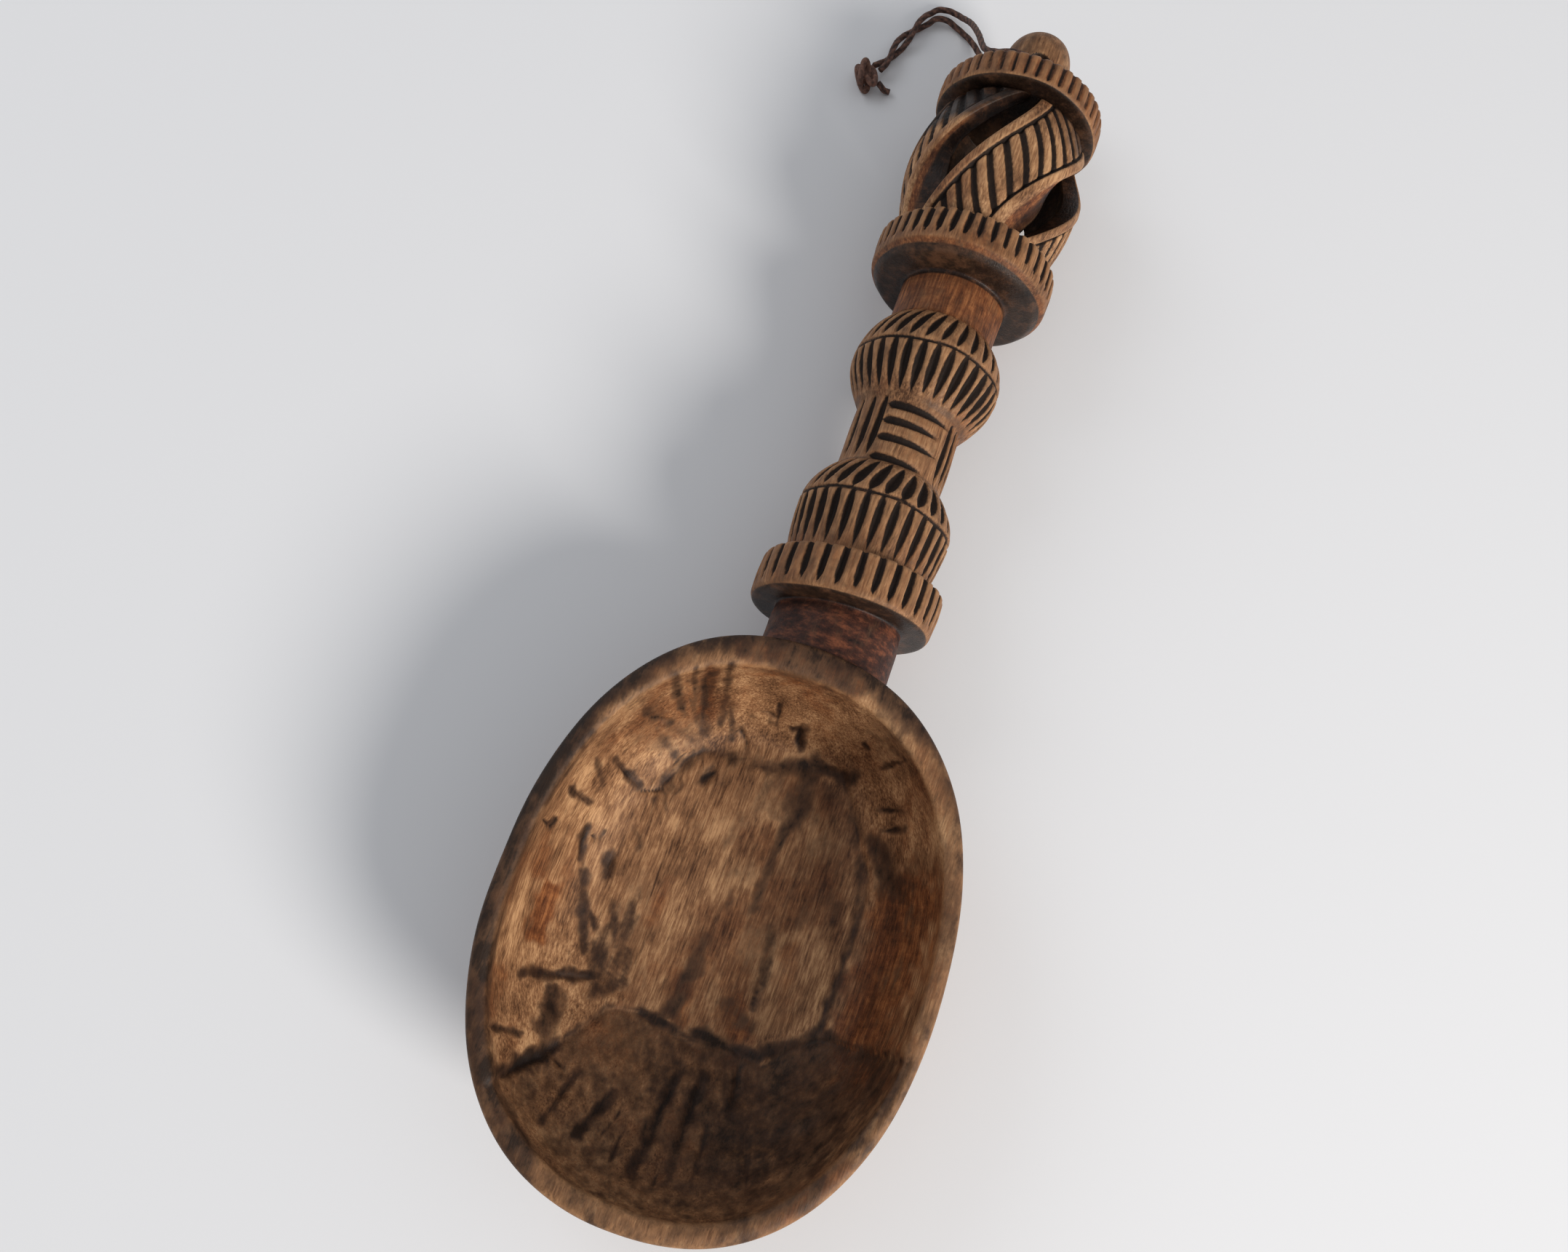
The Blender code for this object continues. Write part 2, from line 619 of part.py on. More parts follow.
def carved_spoon(wood):
    handle = empty("handle_axis", (AXIS_SHIFT, -0.5 * LENGTH, AXIS_HEIGHT), (-0.5 * math.pi, 0.0, 0.0))
    spoon = mesh_object("carved_spoon", turned("carved_spoon", lower_handle_profile()), handle, wood)
    boolean(spoon, helper("bowl_blank", bowl_blank()), "UNION")
    boolean(spoon, helper("knob_blank", turned("knob_blank", knob_profile(), KNOB_SIDES), handle), "UNION")
    for collar in collars():
        boolean(spoon, helper(collar.name, collar, handle), "UNION")
    for number in range(RIBBONS):
        name = f"ribbon_{number + 1}"
        boolean(spoon, helper(name, ribbon(name, number), handle), "UNION")
    boolean(spoon, helper("bowl_hollow", bowl_hollow()), "DIFFERENCE")
    hole = helper("cord_hole", cord_hole())
    hole.location = (AXIS_SHIFT, COLLAR_3_END + CORD_HOLE_STATION - 0.5 * LENGTH, AXIS_HEIGHT)
    boolean(spoon, hole, "DIFFERENCE")
    for cuts in knife_cuts():
        boolean(spoon, helper(cuts.name, cuts, handle), "DIFFERENCE")
    return spoon


def hanging_loop(fibre):
    pivot = empty("loop_swing", (AXIS_SHIFT, COLLAR_3_END + CORD_HOLE_STATION - 0.5 * LENGTH, 0.0))
    cord_tube("cord_upper_strand", [*UPPER_LEAD, *twisted_pair(1)], pivot, fibre)
    cord_tube("cord_lower_strand", [*LOWER_LEAD, *twisted_pair(-1)], pivot, fibre)
    cord_tube("cord_tail", TAIL_ROUTE, pivot, fibre)
    knot(pivot, fibre)


clear_scene()
carved_spoon(material("oiled wood", (0.30, 0.17, 0.08), 0.45))
hanging_loop(material("dark hide cord", (0.08, 0.04, 0.025), 0.7))
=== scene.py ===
# %% [markdown]
# # A carved wooden spoon
# The spoon lies on a table with its bowl open upwards. It is one block of wood: a deep bowl, then a handle
# of collars, bulbs and necks that ends in an open twisted cage, a last collar and a knob. A cord hangs in
# the knob. The solids that carry size and motion come in first, and everything below dresses them.

# %% Load the frame
import math

import bpy
import numpy as np
from mathutils import Matrix, Vector


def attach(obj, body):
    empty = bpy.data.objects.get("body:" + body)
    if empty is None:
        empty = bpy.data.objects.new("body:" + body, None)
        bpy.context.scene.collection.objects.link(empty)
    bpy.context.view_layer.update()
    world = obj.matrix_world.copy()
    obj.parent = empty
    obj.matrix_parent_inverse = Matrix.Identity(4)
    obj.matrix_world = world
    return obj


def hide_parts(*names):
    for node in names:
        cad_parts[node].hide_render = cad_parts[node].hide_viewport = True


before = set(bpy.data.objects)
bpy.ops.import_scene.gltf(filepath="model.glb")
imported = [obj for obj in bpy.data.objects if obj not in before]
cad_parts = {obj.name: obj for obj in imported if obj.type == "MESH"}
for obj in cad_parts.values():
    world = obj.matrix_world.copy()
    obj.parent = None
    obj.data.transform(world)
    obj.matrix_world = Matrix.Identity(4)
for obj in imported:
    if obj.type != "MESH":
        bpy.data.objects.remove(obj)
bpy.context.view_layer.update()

# %% [markdown]
# ## Camera
# The photograph looks down on the spoon from above the bowl, leaning a little towards the knob, and the
# picture is rolled so that the handle points up and to the right. The place and the angles were found by
# fitting the handle's axis, the collars' ellipses and the rim, so they are written here as plain angles and
# one point.

# %% Make the camera
IMAGE_SIZE = (2156, 1721)
FOCAL_PIXELS = 1900
CAMERA_PLACE = Vector((-0.0083, -0.1297, 0.3808))
CAMERA_TILT = math.radians(16.3)  # away from straight down, towards the knob
CAMERA_YAW = math.radians(1.62)
CAMERA_ROLL = math.radians(18.66)


def put(name, data):
    """Adds an object to the scene."""
    made = bpy.data.objects.new(name, data)
    bpy.context.scene.collection.objects.link(made)
    return made


def photograph_camera():
    lens = bpy.data.cameras.new("photograph")
    lens.sensor_fit = "HORIZONTAL"
    lens.lens = lens.sensor_width * FOCAL_PIXELS / IMAGE_SIZE[0]
    camera = put("photograph", lens)
    turned = Matrix.Translation(CAMERA_PLACE)
    for angle, axis in ((CAMERA_YAW, "Z"), (CAMERA_TILT, "X"), (CAMERA_ROLL, "Z")):
        turned = turned @ Matrix.Rotation(angle, 4, axis)
    camera.matrix_world = turned
    bpy.context.scene.camera = camera
    return camera


print("lens:", round(photograph_camera().data.lens, 2), "mm")

# %% [markdown]
# ## Light and table
# A broad soft lamp stands to the right and a little towards the bowl's tip, because in the photograph the
# left wall of the bowl and the right of each collar are bright. A weak lamp opposite and a pale sky fill
# the shadows. Their power is set so that the floor renders close to its written tone, and the colours of the
# wood then stay true.

# %% Set up the lamps, sky and floor
FLOOR_SIZE = 6.0
FLOOR_TONE = (0.88, 0.88, 0.90)
SKY_TONE = (0.95, 0.97, 1.0)
SKY_STRENGTH = 0.38
LAMP_SIZE = 0.80
LAMP_AIM = Vector((0, 0, 0.02))
LAMPS = (  # name, place, power in watts and tint
    ("key", (1.52, -0.94, 1.10), 36.0, (1.0, 0.97, 0.92)),
    ("fill", (-1.00, 0.40, 0.90), 3.0, (0.92, 0.96, 1.0)),
)


def soft_lamp(name, place, power, tint):
    data = bpy.data.lights.new(name, "AREA")
    data.shape = "DISK"
    data.size = LAMP_SIZE
    data.energy = power
    data.color = tint
    lamp = put(name, data)
    lamp.location = place
    lamp.rotation_euler = (LAMP_AIM - Vector(place)).to_track_quat("-Z", "Y").to_euler()


def plain_floor():
    half = FLOOR_SIZE / 2
    mesh = bpy.data.meshes.new("floor")
    corners = [(-half, -half, 0), (half, -half, 0), (half, half, 0), (-half, half, 0)]
    mesh.from_pydata(corners, [], [(0, 1, 2, 3)])
    finish = bpy.data.materials.new("pale floor")
    finish.use_nodes = True
    shader = finish.node_tree.nodes["Principled BSDF"]
    shader.inputs["Base Color"].default_value = (*FLOOR_TONE, 1)
    shader.inputs["Roughness"].default_value = 0.8
    mesh.materials.append(finish)
    put("floor", mesh)


def pale_sky():
    world = bpy.data.worlds.new("pale sky")
    world.use_nodes = True
    sky = world.node_tree.nodes["Background"]
    sky.inputs["Color"].default_value = (*SKY_TONE, 1)
    sky.inputs["Strength"].default_value = SKY_STRENGTH
    bpy.context.scene.world = world


plain_floor()
pale_sky()
for lamp in LAMPS:
    soft_lamp(*lamp)
bpy.context.scene.view_settings.view_transform = "Standard"

# %% [markdown]
# ## Shader sums as Python
# A finish is easier to read as arithmetic than as a picture of wires. `Signal` wraps one output socket, and
# its operators add Math nodes. `Finish.node` makes every other node: its type, its settings first, then its
# sockets.


# %% Signals and finishes
class Signal:
    """A value that changes over the surface."""

    def __init__(self, finish, socket):
        self.finish = finish
        self.socket = socket

    def sum(self, operation, *values):
        return self.finish.node("ShaderNodeMath", {"operation": operation}, dict(enumerate(values)))

    def __add__(self, other):
        return self.sum("ADD", self, other)

    def __sub__(self, other):
        return self.sum("SUBTRACT", self, other)

    def __mul__(self, other):
        return self.sum("MULTIPLY", self, other)

    def __rsub__(self, other):
        return self.sum("SUBTRACT", other, self)

    __radd__ = __add__
    __rmul__ = __mul__

    def ease(self, low, high):
        """0 below low, 1 above high, and a smooth rise between."""
        sockets = {"Value": self, "From Min": low, "From Max": high}
        return self.finish.node("ShaderNodeMapRange", {"interpolation_type": "SMOOTHSTEP"}, sockets)


class Finish:
    """One material whose Principled shader is fed by signals."""

    def __init__(self, name):
        self.material = bpy.data.materials.new(name)
        self.material.use_nodes = True
        self.tree = self.material.node_tree
        self.shader = self.tree.nodes["Principled BSDF"]
        self.place = self.node("ShaderNodeTexCoord", output="Object")

    def set(self, node, socket, value):
        if isinstance(value, Signal):
            self.tree.links.new(value.socket, node.inputs[socket])
        else:
            node.inputs[socket].default_value = value

    def node(self, kind, settings=None, sockets=None, output=0):
        made = self.tree.nodes.new(kind)
        for name, value in (settings or {}).items():
            if name == "stops":
                self.stops(made.color_ramp, value)
            else:
                setattr(made, name, value)
        for socket, value in (sockets or {}).items():
            self.set(made, socket, value)
        return Signal(self, made.outputs[output])

    def stops(self, ramp, stops):
        while len(ramp.elements) < len(stops):
            ramp.elements.new(1.0)
        for element, (place, colour) in zip(ramp.elements, stops):
            element.position = place
            element.color = colour

    def stretch(self, scales):
        """The place on the object, drawn out so that a pattern runs long where its scale is small."""
        return self.node("ShaderNodeVectorMath", {"operation": "MULTIPLY"}, {0: self.place, 1: scales})

    def noise(self, scales, detail=4.0, roughness=0.55, distortion=0.0):
        sockets = {
            "Vector": self.stretch(scales), "Scale": 1.0, "Detail": detail,
            "Roughness": roughness, "Distortion": distortion,
        }
        return self.node("ShaderNodeTexNoise", {}, sockets)

    def mark(self, name):
        """A value that the mesh carries at each vertex."""
        return self.node("ShaderNodeAttribute", {"attribute_name": name}, {}, "Fac")

    def ramp(self, factor, *stops):
        """A colour that runs through stops, each a place and a tone."""
        stops = [(place, tone(*colour)) for place, colour in stops]
        return self.node("ShaderNodeValToRGB", {"stops": stops}, {"Fac": factor})

    def mix(self, first, second, factor):
        return self.node("ShaderNodeMix", {"data_type": "RGBA"}, {0: factor, 6: first, 7: second}, 2)

    def bump(self, height, strength, distance):
        sockets = {"Height": height, "Strength": strength, "Distance": distance}
        return self.node("ShaderNodeBump", {}, sockets, "Normal")

    def shade(self, **sockets):
        for name, value in sockets.items():
            self.set(self.shader, name.replace("_", " "), value)


def tone(*screen):
    """A colour read as it looks on screen, 0 to 255, as the linear colour that shaders use."""
    return (*[((c / 255 + 0.055) / 1.055) ** 2.4 if c > 10 else c / 255 / 12.92 for c in screen], 1.0)


print("a tan land in linear light:", [round(c, 3) for c in tone(176, 128, 80)])

# %% [markdown]
# ## Sizes
# The members of the handle are the same lengths and radii as the solids, in metres, listed from the bowl's
# tip to the knob. `station` means the distance from the tip along the handle's axis, and azimuth 0 looks
# straight up.

# %% Stations and radii
BOWL_LENGTH = 0.1440
BOWL_WIDTH = 0.1104
BOWL_HEIGHT = 0.0465
BOWL_WIDEST = 0.0698
BOWL_SQUARENESS = 2.27
NECK_1_END = 0.1580
COLLAR_1_END = 0.1710
BULB_1_END = 0.2000
SHAFT_END = 0.2200
BULB_2_END = 0.2475
NECK_2_END = 0.2612
COLLAR_2_END = 0.2745
CAGE_END = 0.3221
COLLAR_3_END = 0.3310
LENGTH = 0.3560
AXIS = Vector((0.0019, -LENGTH / 2, 0.0268))  # where the handle's axis passes over the tip

NECK_1_RADIUS = 0.0178
NECK_1_WAIST = 0.0172
COLLAR_1_RADIUS = 0.0250
BULB_1_FOOT = 0.0192
BULB_1_RADIUS = 0.0216
SHAFT_RADIUS = 0.0150
BULB_2_FOOT = 0.0156
BULB_2_RADIUS = 0.0213
NECK_2_RADIUS = 0.0152
COLLAR_2_RADIUS = 0.0263
COLLAR_3_RADIUS = 0.0249
KNOB_RADIUS = 0.0103
KNOB_WAIST = 0.0097
COLLAR_EDGE = 0.0008
COLLAR_1_BEVEL = 0.0012
COLLAR_2_BEVEL = 0.0030
COLLAR_1_LEAN = math.tan(math.radians(4))  # the lower collar's right side sits further from the bowl
LEAN_FADE = 0.0080
BOWL_WALL_LEAN = 0.31  # how the bowl's wall leans behind the neck
LEAN_PAST_BOWL = 0.002
NECK_1_ROOT = 0.0094  # how far the neck reaches back into the bowl's wall


def between(low, high, share):
    return low + (high - low) * share


def round_turn(count):
    return np.arange(count) * 2 * math.pi / count


def wrapped(angle):
    return (angle + math.pi) % (2 * math.pi) - math.pi


def smooth(value, low, high):
    share = np.clip((value - low) / (high - low), 0, 1)
    return share * share * (3 - 2 * share)


def wobble(points, length, seed):
    """A soft unevenness of about -1 to 1, with waves of this length."""
    draw = np.random.default_rng(seed)
    total = 0
    waves = 14
    for _ in range(waves):
        direction = draw.normal(size=3)
        direction *= 2 * math.pi / length / np.linalg.norm(direction) * draw.uniform(0.6, 1.5)
        total = total + np.sin(points @ direction + draw.uniform(0, 2 * math.pi))
    return total / math.sqrt(waves)


print("collars end at", [COLLAR_1_END, COLLAR_2_END, COLLAR_3_END], "m from the tip")

# %% [markdown]
# ## A carved surface as a grid
# Each carved member is a grid of points: rows run along the profile, columns run round it. A gouge is a
# stroke on that grid, as the knife makes it: it starts and ends in a point, is widest somewhere between,
# and is deepest along its middle. Beside the shape, every point keeps how deep it was cut, how sooty or
# dark with painted shade, how red, and how stained or dark with painted shade its wood is, and the finish
# reads those marks later.


# %% Grids and strokes
MARKS = ("cut", "soot", "red", "stain")
UNEVEN_WAVE = 0.022
UNEVEN_LEAST = 0.004  # below this radius the unevenness stops growing


def stroke_shape(along, widest, fall):
    """A stroke's width and depth along its length: it starts in a point, and a small fall ends it blunt."""
    up = np.sin(0.5 * math.pi * np.clip(along / widest, 0, 1)) ** 0.8
    down = np.cos(0.5 * math.pi * np.clip((along - widest) / (1 - widest), 0, 1))
    return np.where((along > 0) & (along < 1), up * np.maximum(down, 0) ** fall, 0.0)


def grid_mesh(name, grid, marks):
    """A closed mesh through the rows of a grid, with each end drawn to a point."""
    rows, columns = grid.shape[:2]
    points = np.concatenate([grid.reshape(-1, 3), [grid[0].mean(0), grid[-1].mean(0)]])
    index = np.arange(rows * columns).reshape(rows, columns)
    ahead = np.roll(index, -1, axis=1)
    quads = np.stack([index[:-1], ahead[:-1], ahead[1:], index[1:]], axis=-1).reshape(-1, 4)
    first, last = rows * columns, rows * columns + 1
    fans = [(first, int(b), int(a)) for a, b in zip(index[0], ahead[0])]
    fans += [(last, int(a), int(b)) for a, b in zip(index[-1], ahead[-1])]
    mesh = bpy.data.meshes.new(name)
    mesh.from_pydata(points.tolist(), [], quads.tolist() + fans)
    for mark in MARKS:
        values = np.broadcast_to(marks.get(mark, 0.0), (rows, columns)).ravel()
        ends = np.array([np.mean(values[:columns]), np.mean(values[-columns:])])
        layer = mesh.attributes.new(mark, "FLOAT", "POINT")
        layer.data.foreach_set("value", np.concatenate([values, ends]).astype(np.float32))
    triangles = np.concatenate([quads[:, :3], quads[:, [0, 2, 3]], fans])
    a, b, c = points[triangles].transpose(1, 0, 2)
    if np.einsum("ij,ij->i", a, np.cross(b, c)).sum() < 0:  # six times the volume: negative when inside out
        mesh.flip_normals()
    return put(name, mesh)


def evenly(line, spacing):
    """How far along a line of straight pieces evenly spaced points are, and the points."""
    reach = np.concatenate([[0], np.cumsum(np.linalg.norm(np.diff(line, axis=0), axis=1))])
    walk = np.linspace(0, reach[-1], round(reach[-1] / spacing) + 1)
    return walk, np.stack([np.interp(walk, reach, column) for column in line.T], axis=1)


def soften(values):
    for _ in range(2):
        values[1:-1] = (values[:-2] + 2 * values[1:-1] + values[2:]) / 4
    return values


class TurnedBlank:
    """A member of the handle: its profile turned about the axis, ready to be cut."""

    def __init__(self, corners, columns, step):
        self.walk, line = evenly(np.array(corners), step)
        self.station, self.radius = soften(line).T
        self.azimuth = round_turn(columns)
        self.depth = np.zeros((len(line), columns))

    def at(self, station):
        """The distance along the profile at which it reaches this station."""
        return np.interp(station, self.station, self.walk)

    def gouge(self, start, end, half_width, depth, widest=0.4, fall=0.6):
        """Cuts one stroke between two places, each a distance along the profile and an azimuth."""
        (walk_0, turn_0), (walk_1, turn_1) = start, end
        radius = np.interp((walk_0 + walk_1) / 2, self.walk, self.radius)
        step_walk, step_round = walk_1 - walk_0, radius * wrapped(turn_1 - turn_0)
        length = math.hypot(step_walk, step_round)
        rows = np.abs(self.walk - (walk_0 + walk_1) / 2) < abs(step_walk) / 2 + half_width
        round_it = radius * wrapped(self.azimuth - turn_0)
        columns = np.abs(round_it - step_round / 2) < abs(step_round) / 2 + half_width
        walk = self.walk[rows][:, None] - walk_0
        turn = round_it[columns][None]
        along = (walk * step_walk + turn * step_round) / length**2
        off = np.abs(walk * step_round - turn * step_walk) / length
        shape = stroke_shape(along, widest, fall)
        cut = depth * shape * np.clip(1 - off / np.maximum(half_width * shape, 1e-6), 0, 1) ** 0.8
        window = np.ix_(rows, columns)
        self.depth[window] = np.maximum(self.depth[window], cut)

    def points(self, unevenness, seed):
        """The carved grid in space."""
        turn = self.azimuth[None]
        radius = self.radius[:, None] - self.depth
        along = np.broadcast_to(self.station[:, None], radius.shape)
        right = radius * np.sin(turn)
        past_collar = np.maximum(np.maximum(NECK_1_END - along, along - COLLAR_1_END), 0)
        lean = COLLAR_1_LEAN * np.maximum(1 - past_collar / LEAN_FADE, 0)
        place = np.stack([right, along + lean * right, radius * np.cos(turn)], axis=-1)
        swell = 1 + unevenness * wobble(place, UNEVEN_WAVE, seed) / np.maximum(radius, UNEVEN_LEAST)
        place = np.stack([place[..., 0] * swell, place[..., 1], place[..., 2] * swell], axis=-1)
        return place + np.array(AXIS)


def lean_root(points):
    """Leans the neck's hidden end like the bowl's wall, so that it stays inside the wood."""
    low, high = BOWL_LENGTH - NECK_1_ROOT, BOWL_LENGTH + LEAN_PAST_BOWL
    share = 1 - smooth(points[..., 1], low - LENGTH / 2, high - LENGTH / 2)
    points[..., 1] += BOWL_WALL_LEAN * share * (points[..., 2] - AXIS.z)
    return points


print("marks kept at each point:", MARKS)

# %% [markdown]
# ## The turned part of the handle
# From the bowl up to the middle collar the handle is one turned blank, so it could be a lathe profile with
# a displacement texture. Real cuts are used instead, because the notches break the outline of the collars
# and bulbs. Notch counts follow the spacing that shows in front. Each stroke differs a little, as hand work
# does, by the same rule as in the solids, but the strokes here are finer, and some sit a little closer to
# the photograph.

# %% Turn the blank
HANDLE_COLUMNS = 264
HANDLE_STEP = 0.0006
BULB_1_BELLY = 0.55
BULB_2_BELLY = 0.52
BULB_POINTS = 24


def collar_corners(start, end, radius, bevel=COLLAR_EDGE):
    shoulder = radius - 0.25 * COLLAR_EDGE
    return [
        (start, radius - bevel), (start + bevel, shoulder), ((start + bevel + end) / 2, radius),
        (end - COLLAR_EDGE, shoulder), (end, radius - COLLAR_EDGE),
    ]


def bulb_corners(start, end, foot, belly, shoulder, belly_at):
    corners = []
    for u in np.linspace(0, 1, BULB_POINTS):
        if u < belly_at:
            radius = between(foot, belly, math.sin(0.5 * math.pi * u / belly_at))
        else:
            fall = math.cos(0.5 * math.pi * (u - belly_at) / (1 - belly_at))
            radius = between(shoulder, belly, max(fall, 0) ** 0.8)
        corners.append((between(start, end, u), radius))
    return corners


handle = TurnedBlank(
    [
        (BOWL_LENGTH - NECK_1_ROOT, NECK_1_RADIUS),
        (between(BOWL_LENGTH, NECK_1_END, 0.7), NECK_1_RADIUS),
        (NECK_1_END, NECK_1_WAIST),
        *collar_corners(NECK_1_END, COLLAR_1_END, COLLAR_1_RADIUS, COLLAR_1_BEVEL),
        *bulb_corners(COLLAR_1_END, BULB_1_END, BULB_1_FOOT, BULB_1_RADIUS, SHAFT_RADIUS, BULB_1_BELLY),
        (between(BULB_1_END, SHAFT_END, 0.97), SHAFT_RADIUS),
        *bulb_corners(SHAFT_END, BULB_2_END, BULB_2_FOOT, BULB_2_RADIUS, NECK_2_RADIUS, BULB_2_BELLY),
        (NECK_2_END, NECK_2_RADIUS),
        *collar_corners(NECK_2_END, COLLAR_2_END, COLLAR_2_RADIUS, COLLAR_2_BEVEL),
        (COLLAR_2_END, 0.0006),
    ],
    HANDLE_COLUMNS,
    HANDLE_STEP,
)
print("handle grid:", handle.depth.shape)

# %% Cut the notches and leaves
RING_1 = 0.1880  # stations of the thin rings round the bulbs
RING_2 = 0.2350
RING_HALF = 0.0007
RING_DEPTH = 0.0009
UNEVEN_PITCH = 0.07
UNEVEN_SIZE = 0.10
UNEVEN_END = 0.0003


def uneven(i, row):
    return math.sin(12.9898 * i + 4.1 * row)


def row_of_cuts(blank, row, count, low, high, half_width, depth, lean, widest, fall):
    """Strokes side by side all the way round, from one distance along the profile to another."""
    for i in range(count):
        turn = 2 * math.pi * (i + UNEVEN_PITCH * uneven(i, row)) / count
        size = 1 + UNEVEN_SIZE * uneven(i, row + 1)
        start = (low + UNEVEN_END * uneven(i, row + 2), turn)
        end = (high + UNEVEN_END * uneven(i, row + 3), turn + lean + 0.02 * uneven(i, row + 4))
        blank.gouge(start, end, half_width * size, depth * size, widest, fall)


def ring_cut(blank, station):
    """A thin line all the way round, not quite straight."""
    middle = blank.at(station) + 0.0003 * np.sin(3 * blank.azimuth + 1.0) + 0.0002 * np.sin(7 * blank.azimuth)
    off = np.abs(blank.walk[:, None] - middle[None])
    blank.depth = np.maximum(blank.depth, RING_DEPTH * np.clip(1 - off / RING_HALF, 0, 1))


COLLAR_1_LOW = handle.at(NECK_1_END + COLLAR_1_BEVEL)
COLLAR_1_HIGH = handle.at(COLLAR_1_END - COLLAR_EDGE)
COLLAR_2_LOW = handle.at(NECK_2_END + COLLAR_2_BEVEL)
COLLAR_2_HIGH = handle.at(COLLAR_2_END - COLLAR_EDGE)
LEAVES = (  # count, from, to, half width, depth, lean to the right, where the leaf is widest, how it ends
    (32, COLLAR_1_END + 0.0006, COLLAR_1_END + 0.0168, 0.0015, 0.0017, 0.0, 0.60, 0.20),
    (28, COLLAR_1_END + 0.0174, BULB_1_END - 0.0002, 0.0016, 0.0018, 0.17, 0.30, 0.55),
    (32, SHAFT_END + 0.0006, SHAFT_END + 0.0149, 0.0015, 0.0017, 0.0, 0.55, 0.28),
    (30, SHAFT_END + 0.0153, BULB_2_END + 0.0002, 0.0013, 0.0015, 0.20, 0.35, 0.50),
)
NOTCHES = (  # row, then the same as above, but along the profile
    (5, 32, COLLAR_1_LOW + 0.0006, COLLAR_1_HIGH + 0.0026, 0.0012, 0.0017, 0.0, 0.32, 0.10),
    (6, 42, COLLAR_2_LOW + 0.0016, COLLAR_2_HIGH + 0.0026, 0.0010, 0.0016, 0.0, 0.32, 0.10),
)
for row, (count, low, high, *stroke) in enumerate(LEAVES):
    row_of_cuts(handle, row, count, handle.at(low), handle.at(high), *stroke)
for notches in NOTCHES:
    row_of_cuts(handle, *notches)
for station in (RING_1, RING_2):
    ring_cut(handle, station)
print("deepest cut:", round(1000 * handle.depth.max(), 2), "mm")

# %% Cut the panel on the shaft
PANEL_LEFT = -32
PANEL_SLOTS = ((0.2012, 32), (0.2074, 42), (0.2126, 38), (0.2173, 49))  # station, and the right end's azimuth
PANEL_BARS = (-70, -51, -36, 49, 62, 75)  # azimuths of the long cuts beside it
SLOT_STROKE = (0.0015, 0.0013, 0.12, 0.45)  # half width, depth, where it is widest, how it ends
BAR_STROKE = (0.0014, 0.0014, 0.40, 0.25)
BAR_LEAN = 1.7


def shaft_panel(facing):
    for station, right in PANEL_SLOTS:
        start = (handle.at(station), math.radians(facing + PANEL_LEFT))
        end = (handle.at(station - 0.0004), math.radians(facing + right))
        handle.gouge(start, end, *SLOT_STROKE)
    for bar in PANEL_BARS:
        low, high = handle.at(BULB_1_END + 0.0004), handle.at(SHAFT_END - 0.0004)
        start, end = (low, math.radians(facing + bar)), (high, math.radians(facing + bar + BAR_LEAN))
        handle.gouge(start, end, *BAR_STROKE)


for facing in (0, 180):
    shaft_panel(facing)
print("panel:", len(PANEL_SLOTS), "slots beside", len(PANEL_BARS), "bars")

# %% [markdown]
# The undersides of the collars are nearly black, and the two plain necks are red-brown, so those stretches
# of the profile are marked before the grid becomes a mesh.

# %% Mark the handle and make its mesh
CUT_FULL = 0.0009  # a cut this deep is fully black
LAND_STAIN = 0.31
UNEVEN = 0.00016


def stretch_of(blank, low, high, fade):
    """1 between two distances along the profile, fading out on both sides."""
    return smooth(blank.walk, low - fade, low) * (1 - smooth(blank.walk, high, high + fade))


def strongest(blank, stretches):
    """The strongest of several marks, each a strength, a start, an end and a fade along the profile."""
    return np.max([strength * stretch_of(blank, *reach) for strength, *reach in stretches], axis=0)[:, None]


def cut_mark(blank):
    return np.clip(blank.depth / CUT_FULL, 0, 1)


def handle_marks():
    under_1, under_2 = handle.at(NECK_1_END - 0.0002), handle.at(NECK_2_END - 0.0002)
    top_1, bulb_1, bulb_2 = handle.at(COLLAR_1_END - 0.0001), handle.at(BULB_1_END), handle.at(BULB_2_END)
    shaft, ring_1 = handle.at(SHAFT_END), handle.at(RING_1)
    soot = (
        (0.80, under_1, COLLAR_1_LOW - 0.0012, 0.0010),
        (1.00, under_2 - 0.0008, COLLAR_2_LOW - 0.0026, 0.0016),
        # Darker where the bulbs meet the collar and the shaft.
        (0.55, top_1 + 0.0012, handle.at(COLLAR_1_END + 0.0004), 0.0010),
        (0.45, shaft - 0.0004, shaft + 0.0006, 0.0020),
        (0.45, bulb_1 - 0.0004, bulb_1, 0.0014),
        # Painted shade: the middle collar's top, inside the cage, is made black.
        (1.00, COLLAR_2_HIGH + 0.0030, handle.walk[-1], 0.0020),
    )
    red = (
        (1.00, 0.0, under_1, 0.0020),
        (0.70, bulb_2, under_2, 0.0020),
        (0.65, COLLAR_2_LOW - 0.0018, COLLAR_2_LOW - 0.0004, 0.0008),
        (0.42, COLLAR_1_LOW, ring_1 - 0.006, 0.0050),
        (0.34, ring_1, bulb_2, 0.0050),
        (0.46, COLLAR_2_LOW, COLLAR_2_HIGH, 0.0010),
    )
    soot, red = strongest(handle, soot), strongest(handle, red)
    return {"cut": cut_mark(handle), "soot": soot, "red": red, "stain": LAND_STAIN}


handle_wood = grid_mesh("handle_blank", lean_root(handle.points(UNEVEN, 3)), handle_marks())
print("handle:", len(handle_wood.data.polygons), "faces")

# %% [markdown]
# ## The top collar and the knob
# The last collar is notched right across its band with shallow brown cuts. The knob behind it has a domed
# end and a hole from above through to the table side, flared at both mouths, where the cord goes through.

# %% Turn the knob
KNOB_COLUMNS = 216
KNOB_STEP = 0.0006
DOME_POINTS = 10
DOME_FULLNESS = 0.7  # 1 would be a half sphere
dome_centre = LENGTH - KNOB_RADIUS


